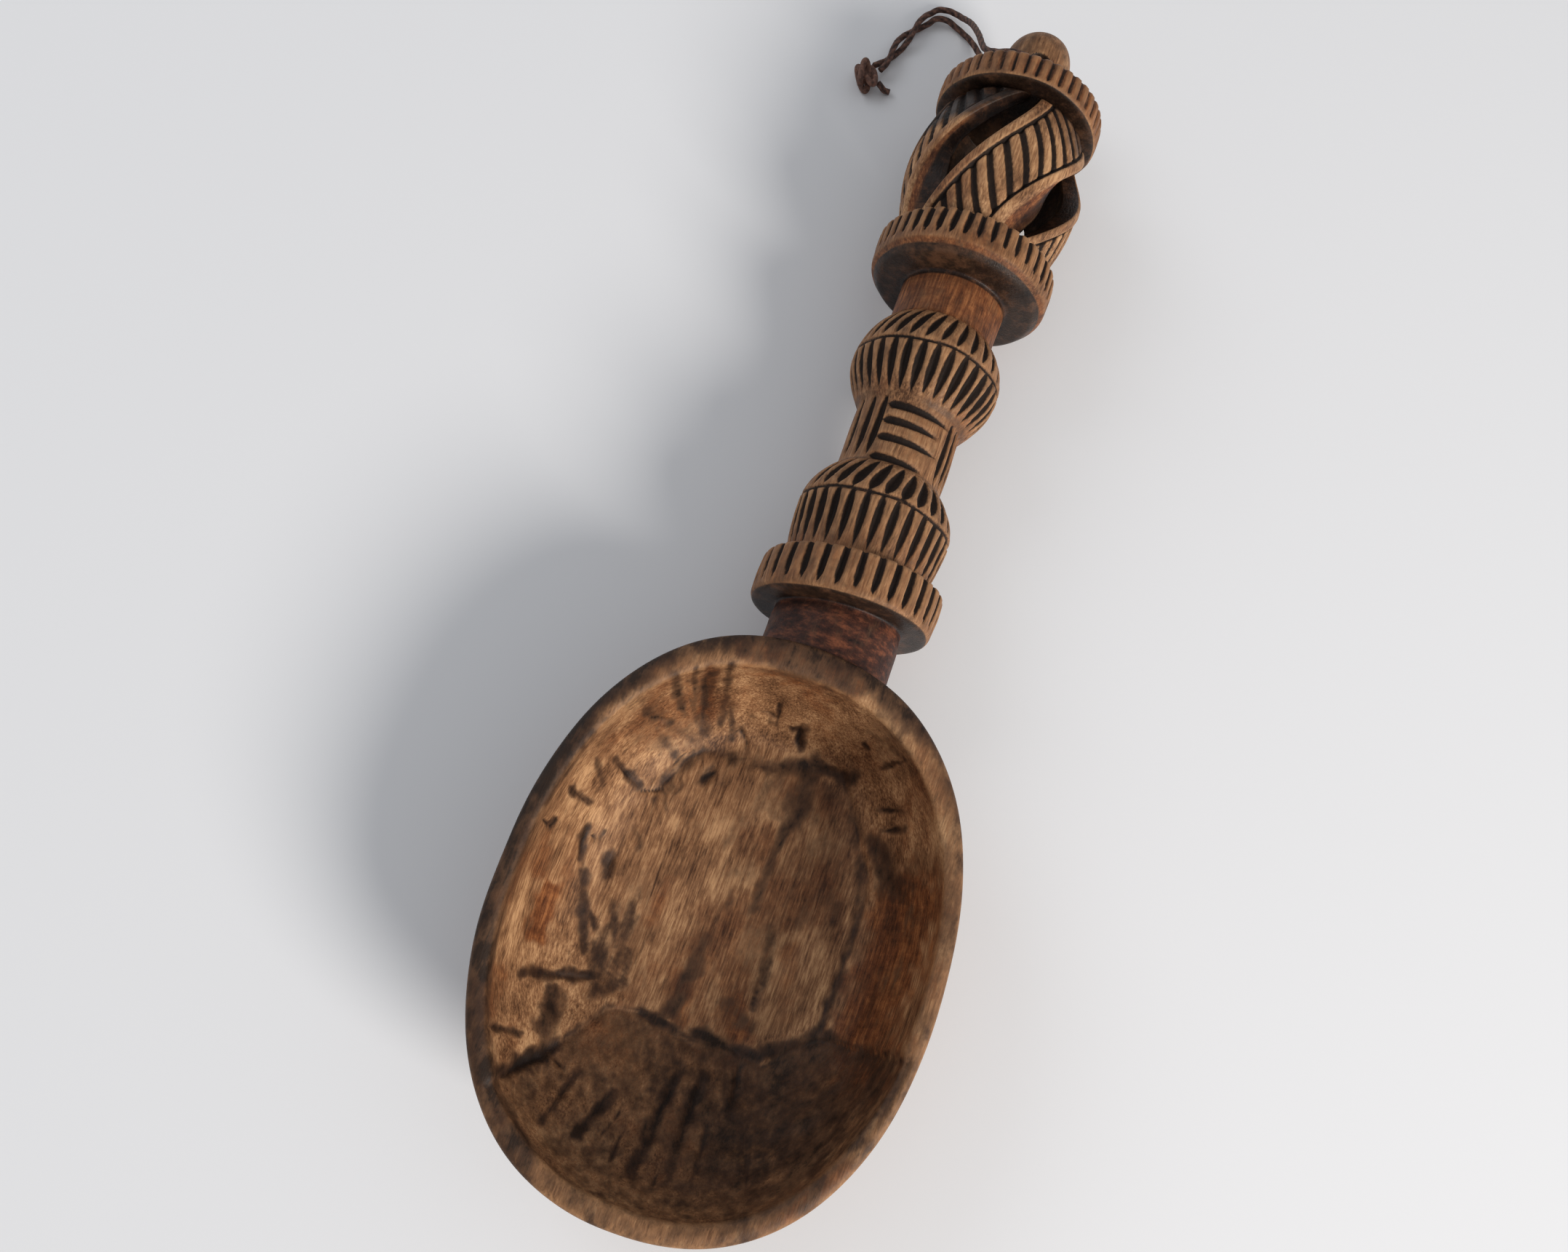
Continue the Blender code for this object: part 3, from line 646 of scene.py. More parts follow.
def dome_corner(i):
    turn = 0.5 * math.pi * i / DOME_POINTS
    return dome_centre + KNOB_RADIUS * math.sin(turn), KNOB_RADIUS * math.cos(turn) ** DOME_FULLNESS


knob = TurnedBlank(
    [
        (CAGE_END, 0.0006),
        *collar_corners(CAGE_END, COLLAR_3_END, COLLAR_3_RADIUS),
        (COLLAR_3_END, KNOB_WAIST),
        (between(COLLAR_3_END, dome_centre, 0.5), between(KNOB_WAIST, KNOB_RADIUS, 0.7)),
        *[dome_corner(i) for i in range(DOME_POINTS)],
        (LENGTH, 0.0004),
    ],
    KNOB_COLUMNS,
    KNOB_STEP,
)
COLLAR_3_LOW = knob.at(CAGE_END + COLLAR_EDGE)
COLLAR_3_HIGH = knob.at(COLLAR_3_END - COLLAR_EDGE)
KNOB_NOTCHES = (7, 42, COLLAR_3_LOW + 0.0003, COLLAR_3_HIGH + 0.0018, 0.0009, 0.0010, 0.0, 0.15, 0.10)
KNOB_CUT = 0.7  # these cuts stay brown
COLLAR_3_STAIN = 0.34
KNOB_STAIN = 0.46
row_of_cuts(knob, *KNOB_NOTCHES)


def knob_marks():
    foot = knob.at(COLLAR_3_END + 0.0004)
    soot = (
        # The top collar's underside is black: soot on its band, and painted shade where it roofs the cage.
        (1.0, 0.0, COLLAR_3_LOW - 0.0009, 0.0008),
        # Darker round the knob's foot.
        (0.5, COLLAR_3_HIGH + 0.0060, foot, 0.0060),
    )
    red = strongest(knob, [(0.50, COLLAR_3_LOW, COLLAR_3_HIGH, 0.001)])
    stain = between(COLLAR_3_STAIN, KNOB_STAIN, strongest(knob, [(1.0, foot, knob.walk[-1], 0.001)]))
    return {"cut": KNOB_CUT * cut_mark(knob), "soot": strongest(knob, soot), "red": red, "stain": stain}


knob_wood = grid_mesh("knob_blank", knob.points(UNEVEN, 5), knob_marks())
print("knob:", len(knob_wood.data.polygons), "faces")

# %% [markdown]
# ## The twisted cage
# Four ribbons climb from the middle collar to the top collar, each a fifth of a turn. A ribbon has a raised
# border along both edges and, between them, a sunk panel of slats with dark grooves across. Each is lofted
# as one closed bar: the cross-section runs over the outside, down one side, back along the inside and up
# the other side. Near the lower collar the right side slants in under the window.

# %% Shape the ribbons
RIBBONS = 4
RIBBON_BELLY = 0.0266
RIBBON_END = 0.0212
RIBBON_THICK = 0.0060
RIBBON_ROOT = 0.06  # how far a ribbon runs on inside the collars, as a share of the cage
RIBBON_START = math.radians(-24.5)
RIBBON_TWIST = math.radians(76)
RIBBON_GAP = math.radians(34)
RIBBON_END_GAP = math.radians(5)
RIBBON_ROWS = 124
OUTSIDE_POINTS = 65
SIDE_POINTS = 9
INSIDE_POINTS = 17
SHOULDER = 0.92  # where the ribbons round off below the top collar
SHOULDER_DROP = 0.0036
BORDER = 0.74  # share of the half width where the raised border begins
PANEL = 0.66
SLAT_PITCH = 0.10
SLAT_FIRST = 0.06
SLAT_SLANT = 0.24
SLAT_SUNK = 0.0006
SLAT_GROOVE = 0.0012
SLAT_GROOVE_HALF = 0.25  # as a share of the pitch
BORDER_LINE = 0.0011
BORDER_LINE_AT = 0.70
BORDER_LINE_HALF = 0.055
RIBBON_STAIN = 0.16
RIBBON_SIDE_RED = 0.78
TOP_DARKENING = 0.50  # how much darker the panel gets towards the top collar
TOP_DARKENING_REACH = (0.66, 0.92)
ROOT_BEVEL = math.radians(23)  # how far the right side slants under the window near the lower collar
ROOT_BEVEL_FADE = (0.20, 0.60)
# Painted shade: the ribbons' insides, their slanted sides and the deep parts of their sides are black. Below
# the top collar each ribbon turns black as a painted shadow, furthest down on the left ribbon.
SHADE_FROM = (0.90, 0.88, 0.88, 0.50)  # where each ribbon turns black below the top collar
FACET_SHADE = (0.66, 1.0, 1.0, 0.95)  # how black the slanted side is near the lower collar
WALL_SHADE = ((0.08, 0.50), (0.0, 0.15), (0.0, 0.15), (0.08, 0.50))  # how deep in its sides each turns black


def ribbon_relief(u, w):
    """Depth below the ribbon's outer face, and how dark the cut is, at a place along and across it."""
    side = np.abs(w)
    panel = 1 - smooth(side, PANEL, BORDER)
    phase = (u + SLAT_SLANT * w - SLAT_FIRST) / SLAT_PITCH + 0.07 * np.sin(9 * u + 4 * w)
    groove = np.clip(1 - np.abs(phase - np.round(phase)) / SLAT_GROOVE_HALF, 0, 1) ** 0.8
    line = np.clip(1 - np.abs(side - BORDER_LINE_AT) / BORDER_LINE_HALF, 0, 1)
    rounded = smooth(side, 0.92, 1.0) ** 2
    depth = panel * (SLAT_SUNK + SLAT_GROOVE * groove) + BORDER_LINE * line + 0.0005 * rounded
    shoulder = SHOULDER_DROP * np.clip((u - SHOULDER) / (1 - SHOULDER), 0, 1) ** 2
    return np.maximum(depth, shoulder), np.clip(1.5 * groove * panel + 1.2 * line, 0, 1)


def around(*sides):
    """Values round a ribbon's cross-section, from its outside, right, inside and left."""
    return np.concatenate(sides, axis=1)


def ribbon_bar(number):
    run = np.linspace(-RIBBON_ROOT, 1 + RIBBON_ROOT, RIBBON_ROWS)[:, None]
    u = np.clip(run, 0, 1)
    outer = between(RIBBON_END, RIBBON_BELLY, np.sin(math.pi * u))
    opening = np.maximum(np.sin(math.pi * u**0.75), 0) ** 0.5
    half = math.pi / RIBBONS - between(RIBBON_END_GAP, RIBBON_GAP, opening) / 2
    centre = RIBBON_START + RIBBON_TWIST * u + number * 2 * math.pi / RIBBONS
    rows = np.ones((RIBBON_ROWS, 1))
    across = rows * np.linspace(-1, 1, OUTSIDE_POINTS)
    down = rows * np.linspace(0, 1, SIDE_POINTS + 2)[1:-1]
    inside = rows * np.linspace(1, -1, INSIDE_POINTS)
    relief, dark = ribbon_relief(u, across)
    edge = relief[:, :1]
    right, left = between(edge, RIBBON_THICK, down), between(edge, RIBBON_THICK, down[:, ::-1])
    depth = around(relief, right, RIBBON_THICK + 0 * inside, left)
    side = around(across, 1 + 0 * down, inside, 0 * down - 1)
    # Painted shade: the sides turn black deeper into the window.
    wall = smooth(down, *WALL_SHADE[number])
    # Painted shadow: the ribbon turns black below the top collar.
    top = smooth(u, SHADE_FROM[number], between(SHADE_FROM[number], 1, 0.7))
    past_bevel = smooth(u, *ROOT_BEVEL_FADE)
    facet = wall * between(FACET_SHADE[number], 1, past_bevel)
    # Painted shade: the inside is black all along, and the sides as above.
    soot = around(0 * relief, facet, 1 + 0 * inside, wall[:, ::-1])
    cut = around(dark, 0 * down, 0 * inside, 0 * down)
    red = around(0 * relief, RIBBON_SIDE_RED + 0 * down, 0 * inside, RIBBON_SIDE_RED + 0 * down)
    slant = around(0 * across, down, (inside + 1) / 2, 0 * down)
    turn = centre + half * side + ROOT_BEVEL * (1 - past_bevel) * slant
    radius = outer - depth
    station = (COLLAR_2_END + run * (CAGE_END - COLLAR_2_END)) + 0 * turn
    place = np.stack([radius * np.sin(turn), station, radius * np.cos(turn)], axis=-1) + np.array(AXIS)
    # The panel darkens towards the top collar.
    darker_to_top = TOP_DARKENING * smooth(u + 0.10 * across, *TOP_DARKENING_REACH) * (1 - smooth(np.abs(across), PANEL, BORDER))
    stain = around(RIBBON_STAIN + darker_to_top, RIBBON_STAIN + 0 * depth[:, OUTSIDE_POINTS:])
    marks = {"cut": cut, "soot": np.maximum(soot, top), "red": red, "stain": stain}
    return grid_mesh(f"ribbon_{number + 1}", place, marks)


ribbons = [ribbon_bar(number) for number in range(RIBBONS)]
print("ribbons:", [len(r.data.polygons) for r in ribbons], "faces")

# %% [markdown]
# ## The bowl
# The bowl's grid starts under its base, climbs the outside, turns over the lip and goes down the inside to
# the floor. The inside is deep and steep at the handle and slopes gently at the tip. Its knife marks are
# listed by place, in millimetres as seen from above, because each one that shows in the photograph is
# somewhere of its own.

# %% Shape the bowl
BOWL_COLUMNS = 400
BASE_ROWS, OUTER_ROWS, LIP_ROWS, INNER_ROWS, FLOOR_ROWS = 6, 26, 12, 64, 26
FLOOR_HEIGHT = 0.0095
FLOOR_DISH = 0.0006
FLOOR_WIDTH = 0.0600
FLOOR_TO_TIP = 0.0232
FLOOR_TO_HANDLE = 0.0520
BASE_WIDTH = 0.0520
BASE_TO_TIP = 0.0220
BASE_TO_HANDLE = 0.0480
RIM_SIDE = 0.0046
RIM_TIP = 0.0055
RIM_HANDLE = 0.0085
RIM_ROUND = 0.0022
TO_HANDLE = BOWL_LENGTH - BOWL_WIDEST


def oval(height, half_width, to_tip, to_handle):
    angle = 2 * math.pi * (np.arange(BOWL_COLUMNS) + 0.5) / BOWL_COLUMNS
    power = 2 / BOWL_SQUARENESS
    across = np.sign(np.cos(angle)) * np.abs(np.cos(angle)) ** power
    along = np.sign(np.sin(angle)) * np.abs(np.sin(angle)) ** power
    y = BOWL_WIDEST - LENGTH / 2 + along * np.where(along > 0, to_handle, to_tip)
    return np.stack([half_width * across, y, np.full(BOWL_COLUMNS, height)], axis=-1)


def outside_ring(height):
    swell = math.sqrt(1 - (1 - height / BOWL_HEIGHT) ** 2)
    return oval(
        height,
        between(BASE_WIDTH, BOWL_WIDTH, swell) / 2,
        between(BASE_TO_TIP, BOWL_WIDEST, swell),
        between(BASE_TO_HANDLE, TO_HANDLE, swell),
    )


def inside_ring(rise):
    swell = math.sqrt(1 - (1 - rise) ** 2)
    slope = math.sin(0.5 * math.pi * rise) ** 0.9
    return oval(
        between(FLOOR_HEIGHT, BOWL_HEIGHT, rise),
        between(FLOOR_WIDTH / 2, BOWL_WIDTH / 2 - RIM_SIDE, swell),
        between(FLOOR_TO_TIP, BOWL_WIDEST - RIM_TIP, slope),
        between(FLOOR_TO_HANDLE, TO_HANDLE - RIM_HANDLE, swell),
    )


def bowl_rings():
    top = BOWL_HEIGHT - RIM_ROUND
    brim = 1 - RIM_ROUND / (BOWL_HEIGHT - FLOOR_HEIGHT)
    rings = [
        oval(0.0, s * BASE_WIDTH / 2, s * BASE_TO_TIP, s * BASE_TO_HANDLE)
        for s in np.linspace(0.05, 0.97, BASE_ROWS)
    ]
    rings += [outside_ring(q**1.5 * top) for q in np.linspace(0.02, 1, OUTER_ROWS)]
    low, high = outside_ring(top), inside_ring(brim)
    for v in np.linspace(0, 1, LIP_ROWS)[1:-1]:
        ring = between(low, high, 0.5 - 0.5 * math.cos(math.pi * v))
        ring[:, 2] = top + RIM_ROUND * math.sin(math.pi * v) ** 0.7
        rings.append(ring)
    rings += [inside_ring(q**1.6 * brim) for q in np.linspace(1, 0.03, INNER_ROWS)]
    for s in np.linspace(0.99, 0.03, FLOOR_ROWS):
        height = FLOOR_HEIGHT - FLOOR_DISH * (1 - s * s)
        rings.append(oval(height, s * FLOOR_WIDTH / 2, s * FLOOR_TO_TIP, s * FLOOR_TO_HANDLE))
    return np.array(rings)


bowl = bowl_rings()
INSIDE_FROM = BASE_ROWS + OUTER_ROWS + LIP_ROWS // 2 - 1
print("bowl grid:", bowl.shape[:2])

# %% Knife marks in the bowl: from, to, half width and depth, in millimetres
BOWL_CUTS = (
    (-25, -48, -22, -58, 2.6, 0.7), (-37, -62, -30, -60, 1.0, 0.8), (-30, -52, -25, -56, 0.7, 0.5),
    (-5, -45, -4, -49, 0.9, 0.7), (-4, -48, -9, -48, 0.6, 0.5), (2, -47, 4, -53, 1.5, 0.9),
    (-13, -53, -9, -57, 0.8, 0.6), (26, -53, 29, -52, 0.7, 0.6), (29, -62, 34, -62, 0.9, 0.7),
    (32, -67, 36, -66, 1.0, 0.7), (-41, -75, -32, -78, 1.2, 0.8), (-34, -80, -21, -73, 0.8, 0.6),
    (-47, -87, -42, -87, 1.0, 0.6), (-51, -97, -46, -98, 0.8, 0.6), (-41, -92, -40, -102, 1.2, 0.7),
    (-41, -95, -36, -94, 0.6, 0.5), (-33, -96, -32, -103, 1.3, 0.6), (-15, -66, -18, -71, 1.5, 1.0),
    (-12, -67, -14, -73, 0.9, 0.6), (-37, -156, -27, -145, 2.3, 1.0), (3, -139, 0, -167, 1.6, 0.9),
    (9, -139, 8, -164, 1.6, 0.8), (17, -134, 18, -148, 1.3, 0.7), (-11, -150, -16, -164, 1.2, 0.8),
    (-7, -151, -11, -165, 0.9, 0.6), (-29, -147, -21, -153, 0.9, 0.6), (-5, -157, -6, -169, 0.9, 0.6),
    (6, -162, 5, -171, 0.8, 0.6), (24, -149, 26, -161, 1.2, 0.6), (-44, -146, -37, -146, 0.9, 0.6),
    (-21, -150, -24, -163, 1.1, 0.6), (14, -150, 14, -165, 1.0, 0.6), (-22, -62, -28, -71, 0.5, 0.5),
    (-19, -62, -19, -70, 0.5, 0.4), (-28, -54, -20, -59, 0.4, 0.4), (-10, -48, -16, -58, 0.4, 0.4),
    (18, -48, 22, -50, 1.0, 0.6), (-26, -128, -38, -132, 1.2, 0.5),
)
BOWL_CREASES = (
    ((-28, -77), (-24, -67), (-20, -62), (-12, -60), (-4, -61), (3, -58), (9, -57), (17, -55)),
    ((17, -55), (22, -62), (27, -70), (32, -78), (34, -88), (34, -100), (33, -112), (34, -122)),
    ((9, -62), (9, -74), (7, -84), (8, -97)),
    ((14, -101), (16, -110), (15, -121)),
)
TIP_CREASE = (
    (-60, -186), (-37, -156), (-27, -144), (-20, -133), (-11, -131), (-2, -133), (4, -134), (12, -131),
    (22, -132), (28, -127), (33, -122), (60, -120),
)
print("knife marks:", len(BOWL_CUTS), "cuts,", len(BOWL_CREASES) + 1, "creases")

# %% [markdown]
# Stains, painted shade and reddish places are brush strokes on the same plan: from, to, half width and
# strength. A few strokes paint shade: a shadow along the floor's upper edge and shade on the right wall.
# Towards the tip everything beyond one crease is dark, so that part is a region and not a stroke.

# %% Stains, painted shade and reddish places in the bowl
BOWL_STAINS_AND_SHADE = (
    (9, -58, 10, -71, 4.5, 0.75), (8, -72, 7, -97, 1.7, 0.70), (13, -100, 16, -121, 1.7, 0.60),
    (-2, -109, -4, -129, 3.0, 0.80), (9, -122, 16, -126, 3.0, 0.65), (-25, -127, -41, -132, 1.9, 0.95),
    (-27, -121, -24, -130, 3.6, 0.75), (-38, -104, -31, -122, 1.9, 0.85), (-23, -107, -21, -128, 1.9, 0.70),
    (-26, -113, -29, -120, 2.0, 0.60), (-33, -98, -32, -102, 2.2, 0.85), (-41, -93, -40, -101, 1.3, 0.80),
    (-40, -75, -33, -77, 1.6, 0.80), (-28, -79, -21, -73, 1.4, 0.70), (-47, -87, -43, -87, 1.3, 0.80),
    (-16, -66, -17, -70, 2.4, 0.70), (-35, -60, -9, -62, 1.8, 0.50), (7, -56, 20, -56, 2.6, 0.90),
    (14, -60, 25, -67, 2.6, 0.60), (28, -89, 28, -93, 2.3, 0.75), (22, -84, 20, -97, 3.0, 0.40),
    (32, -70, 39, -80, 3.8, 0.85), (30, -76, 34, -92, 1.5, 0.70), (34, -93, 34, -124, 1.5, 0.80),
    (-33, -135, -32, -143, 3.2, 0.80), (22, -130, 36, -122, 3.0, 0.90), (-24, -49, -22, -57, 2.6, 0.72),
    (-12, -53, -9, -58, 1.8, 0.50), (3, -49, 4, -52, 1.6, 0.85), (29, -62, 34, -62, 1.1, 0.75),
    (32, -67, 36, -66, 1.2, 0.75), (26, -53, 29, -52, 0.9, 0.75), (-37, -62, -30, -60, 1.4, 0.80),
    (-33, -63, -27, -66, 1.6, 0.55), (-5, -45, -4, -49, 1.0, 0.75), (-11, -131, -2, -133, 1.6, 1.00),
    (4, -132, 21, -132, 2.0, 1.00), (-37, -155, -28, -146, 2.6, 1.00), (3, -141, 0, -166, 3.0, 1.00),
    (9, -140, 8, -163, 2.9, 1.00), (17, -135, 18, -147, 2.3, 1.00), (-11, -151, -16, -163, 1.5, 0.95),
    # The two wide strokes on the right wall, from (42, -76) and (44, -100), are painted shade.
    (-44, -146, -37, -146, 1.1, 0.85), (42, -76, 43, -92, 5.0, 0.50), (44, -100, 43, -118, 5.0, 0.40),
    (-2, -72, -6, -84, 3.0, 0.35), (-14, -80, -17, -90, 2.5, 0.30), (18, -72, 17, -82, 2.5, 0.35),
    (20, -45, 30, -52, 3.0, 0.40), (0, -94, 1, -102, 1.2, 0.45), (-43, -64, -45, -74, 3.0, 0.35),
    # The five strokes from (-27, -74) round to (33, -84) paint a shadow along the floor's upper edge.
    (-27, -74, -20, -63, 2.4, 0.60), (-20, -62, -6, -61, 2.2, 0.65), (-6, -61, 8, -58, 2.4, 0.70),
    (18, -56, 26, -68, 2.2, 0.60), (26, -68, 33, -84, 2.2, 0.60), (-11, -152, -15, -162, 2.3, 1.00),
    (24, -150, 26, -160, 1.6, 0.95), (-21, -151, -24, -162, 1.4, 0.90), (14, -151, 14, -164, 1.4, 0.90),
    (-12, -66, 14, -68, 7.0, 0.38), (20, -70, 26, -92, 6.0, 0.38), (-4, -74, 0, -90, 5.0, 0.30),
    (10, -82, 12, -112, 6.0, 0.28), (-24, -100, -18, -126, 6.0, 0.32), (-40, -66, -22, -60, 5.0, 0.30),
    (-33, -53, -29, -56, 1.7, 0.85), (-20, -46, -18, -54, 1.7, 0.75), (-17, -50, -14, -57, 1.2, 0.65),
    (-28, -50, -26, -54, 1.2, 0.70), (-44, -78, -41, -82, 1.2, 0.70), (-30, -88, -27, -92, 1.6, 0.60),
    (-36, -110, -30, -116, 1.4, 0.75), (-28, -108, -24, -118, 1.6, 0.70), (-20, -118, -18, -126, 1.6, 0.65),
)
BOWL_REDS = (
    (-44, -112, -43, -123, 2.8, 0.85), (-47, -103, -47, -109, 2.2, 0.60), (-17, -98, -17, -109, 3.0, 0.50),
    (43, -82, 43, -126, 8.0, 0.80), (-18, -39, 10, -38, 5.0, 0.85), (11, -122, 15, -128, 4.0, 0.70),
    (-4, -120, -3, -129, 4.0, 0.65), (36, -162, 45, -148, 3.0, 0.65), (-46, -134, -45, -146, 3.0, 0.55),
    (-24, -49, -23, -54, 2.5, 0.70), (-25, -38, -12, -37, 3.0, 0.45), (20, -104, 24, -122, 4.0, 0.40),
)
RIM_CHAIN = (  # a point, then the half width and strength of the stroke to the next one
    (-12, -35, 5.0, 0.85), (-34, -45, 5.0, 0.95), (-48, -66, 5.0, 0.95), (-54, -95, 5.0, 0.95),
    (-53, -125, 5.0, 0.90), (-44, -152, 5.0, 0.85), (-24, -171, 5.0, 0.55), (4, -177, 5.0, 0.50),
    (28, -169, 4.5, 0.60), (45, -149, 4.0, 0.60), (53, -125, 4.0, 0.50), (54, -92, 4.0, 0.60),
    (46, -60, 4.5, 0.80), (34, -45, 5.5, 0.95), (14, -35, 6.0, 0.90),
)
RIM_STAINS = [(*a[:2], *b[:2], *a[2:]) for a, b in zip(RIM_CHAIN, RIM_CHAIN[1:] + RIM_CHAIN[:1])]
RIM_STAINS.append((-20, -41, 12, -40, 3.5, 0.72))
print("stains:", len(BOWL_STAINS_AND_SHADE) + len(RIM_STAINS), "strokes, and", len(BOWL_REDS), "reddish")

# %% [markdown]
# All these strokes are laid on the bowl's grid as seen from above. Places are shifted a little first, so
# that no edge looks ruled. Cuts then push the surface in, and stains and painted shade only leave marks
# on it. The creases are also darkened along their lines as painted shade.

# %% Carve and stain the bowl
MM = 0.001
TIP_SUNK = 0.0008
CREASE_HALF = 0.0016
CREASE_DEPTH = 0.0004
# Painted shade: each crease is darkened along its line.
CREASE_SHADE = 0.75
CUT_STAIN = 0.9
OUTSIDE_STAIN = 0.48
TIP_STAIN = (0.58, 0.80)  # from the left to the right
SURFACE_WAVE = 0.00007
HEWN_DEPTH = 0.00022
HEWN_FINE = 0.0001
HEWN_FADE = (0.034, 0.044)  # heights between which the hewn inside fades into the lip
TABLE_CLEAR = (0.0005, 0.004)  # below this the base stays flat


def plan_stroke(place, *stroke):
    """Depth of one stroke at places seen from above."""
    start, end, (half_width, depth) = np.reshape(stroke, (3, 2)) * MM
    step = end - start
    along = (place - start) @ step / (step @ step)
    off = np.abs((place - start) @ np.array([-step[1], step[0]])) / np.linalg.norm(step)
    shape = stroke_shape(along, 0.4, 0.7)
    return depth * shape * np.clip(1 - off / np.maximum(half_width * shape, 1e-6), 0, 1)


def line_distance(place, line):
    """Distance to a line of straight pieces, seen from above."""
    nearest = np.full(place.shape[:2], 1.0)
    for a, b in zip(np.array(line[:-1]) * MM, np.array(line[1:]) * MM):
        step = b - a
        share = np.clip((place - a) @ step / max(step @ step, 1e-12), 0, 1)
        nearest = np.minimum(nearest, np.linalg.norm(place - a - share[..., None] * step, axis=-1))
    return nearest


def brushed(place, strokes, breadth):
    total = np.zeros(place.shape[:2])
    for *ends, half_width, strength in strokes:
        off = line_distance(place, np.reshape(ends, (2, 2))) / (half_width * MM * breadth)
        total = np.maximum(total, strength * (1 - smooth(off, 0.10, 1.70)))
    return total


def unsettled(grid, amount, length, seed):
    """Places seen from above, shifted a little each way, so that a line drawn on them isn't straight."""
    shift = np.stack([wobble(grid, length, seed), wobble(grid, length, seed + 1)], axis=-1)
    small = np.stack([wobble(grid, length / 3, seed + 2), wobble(grid, length / 3, seed + 3)], axis=-1)
    return grid[..., :2] + amount * (shift + 0.5 * small)


def carve_bowl(grid):
    inside = (np.arange(len(grid)) >= INSIDE_FROM)[:, None] * np.ones(grid.shape[1])
    round_it = np.roll(grid, -1, axis=1) - np.roll(grid, 1, axis=1)
    normal = np.cross(round_it, np.gradient(grid, axis=0))
    normal /= np.linalg.norm(normal, axis=-1, keepdims=True)
    place = unsettled(grid, 0.0003, 0.012, 21)
    cut = np.zeros(grid.shape[:2])
    for stroke in BOWL_CUTS:
        cut = np.maximum(cut, plan_stroke(place, *stroke))
    crease = np.zeros(grid.shape[:2])
    for line in (*BOWL_CREASES, TIP_CREASE):
        crease = np.maximum(crease, np.clip(1 - line_distance(place, line) / CREASE_HALF, 0, 1))
    across, along = np.array(TIP_CREASE).T * MM
    beyond = np.interp(place[..., 0], across, along) - place[..., 1]
    tip = smooth(beyond, 0.0, 0.0010)
    sunk = TIP_SUNK * tip * (1 - smooth(beyond, 0.004, 0.022))
    height = grid[..., 2]
    deep = inside * (1 - smooth(height, *HEWN_FADE))
    hewn = HEWN_DEPTH * wobble(grid, 0.026, 41) + HEWN_FINE * wobble(grid, 0.008, 24)
    level = SURFACE_WAVE * wobble(grid, 0.030, 23) + deep * hewn
    clear = smooth(height, *TABLE_CLEAR)
    carved = grid + normal * (level * clear - inside * (cut + CREASE_DEPTH * crease + sunk))[..., None]
    place = unsettled(grid, 0.0002, 0.006, 31)
    breadth = np.clip(1 + 0.25 * wobble(grid, 0.006, 51), 0.4, 1.6)
    outside = 1 - smooth(np.arange(len(grid)), INSIDE_FROM - 7, INSIDE_FROM - 2)[:, None]
    scorched = tip * between(*TIP_STAIN, smooth(grid[..., 0], -0.010, 0.030))
    # The stain and shade mark: stains, painted shadow and shade strokes, painted shade along the creases, the
    # dark tip and the stained cuts.
    inner = [
        brushed(place, BOWL_STAINS_AND_SHADE, breadth), CREASE_SHADE * crease * breadth,
        scorched * (1 - 0.25 * smooth(height, 0.030, 0.045)), CUT_STAIN * np.clip(cut / 0.0005, 0, 1),
    ]
    outer = np.maximum(OUTSIDE_STAIN * outside, (1 - deep) * brushed(place, RIM_STAINS, 1.0))
    marks = {
        "cut": inside * 0.5 * np.clip(cut / 0.0008, 0, 1),
        "stain": np.maximum(inside * np.max(inner, axis=0), outer),
        "red": brushed(place, BOWL_REDS, breadth) * (1 - outside),
    }
    return carved, marks


bowl_wood = grid_mesh("bowl_blank", *carve_bowl(bowl))
print("bowl:", len(bowl_wood.data.polygons), "faces")

# %% [markdown]
# ## One piece of wood
# The bowl, the handle, the ribbons and the knob are joined into a single closed surface, as the block of
# wood is. Then the cord's hole is cut through the knob. A join makes new points that carry no marks, so
# they take the marks of the points beside them.

# %% Join the wood
CORD_HOLE_RADIUS = 0.0024
CORD_HOLE_FLARE = 0.0052
CORD_HOLE_FLARE_DEPTH = 0.0040
CORD_HOLE_STATION = COLLAR_3_END + 0.0080
HOLE_ROWS = 31
HOLE_COLUMNS = 64


def hole_cutter():
    throat = KNOB_RADIUS - CORD_HOLE_FLARE_DEPTH
    reach = KNOB_RADIUS + CORD_HOLE_FLARE_DEPTH
    mouth = 2 * CORD_HOLE_FLARE - CORD_HOLE_RADIUS
    share = np.linspace(0, 3, HOLE_ROWS)
    height = np.interp(share, range(4), [-reach, -throat, throat, reach])[:, None]
    radius = soften(np.interp(share, range(4), [mouth, CORD_HOLE_RADIUS, CORD_HOLE_RADIUS, mouth]))[:, None]
    turn = round_turn(HOLE_COLUMNS)
    middle = np.array([AXIS.x, CORD_HOLE_STATION - LENGTH / 2, AXIS.z])
    place = np.stack([radius * np.cos(turn), radius * np.sin(turn), height + 0 * turn], axis=-1)
    # Painted shade: the hole's wall is marked dark, with a little red.
    return grid_mesh("hole_cutter", place + middle, {"soot": 0.8, "red": 0.3})


def settle(made):
    """Makes what an object's modifiers show its own shape."""
    shape = bpy.data.meshes.new_from_object(made.evaluated_get(bpy.context.evaluated_depsgraph_get()))
    made.modifiers.clear()
    made.data = shape


def combine(target, tool, operation):
    modifier = target.modifiers.new(tool.name, "BOOLEAN")
    modifier.operation = operation
    modifier.solver = "MANIFOLD"
    modifier.object = tool
    settle(target)
    bpy.data.objects.remove(tool)


def edge_ends(mesh):
    pairs = np.empty(2 * len(mesh.edges), np.int64)
    mesh.edges.foreach_get("vertices", pairs)
    return pairs.reshape(-1, 2).T


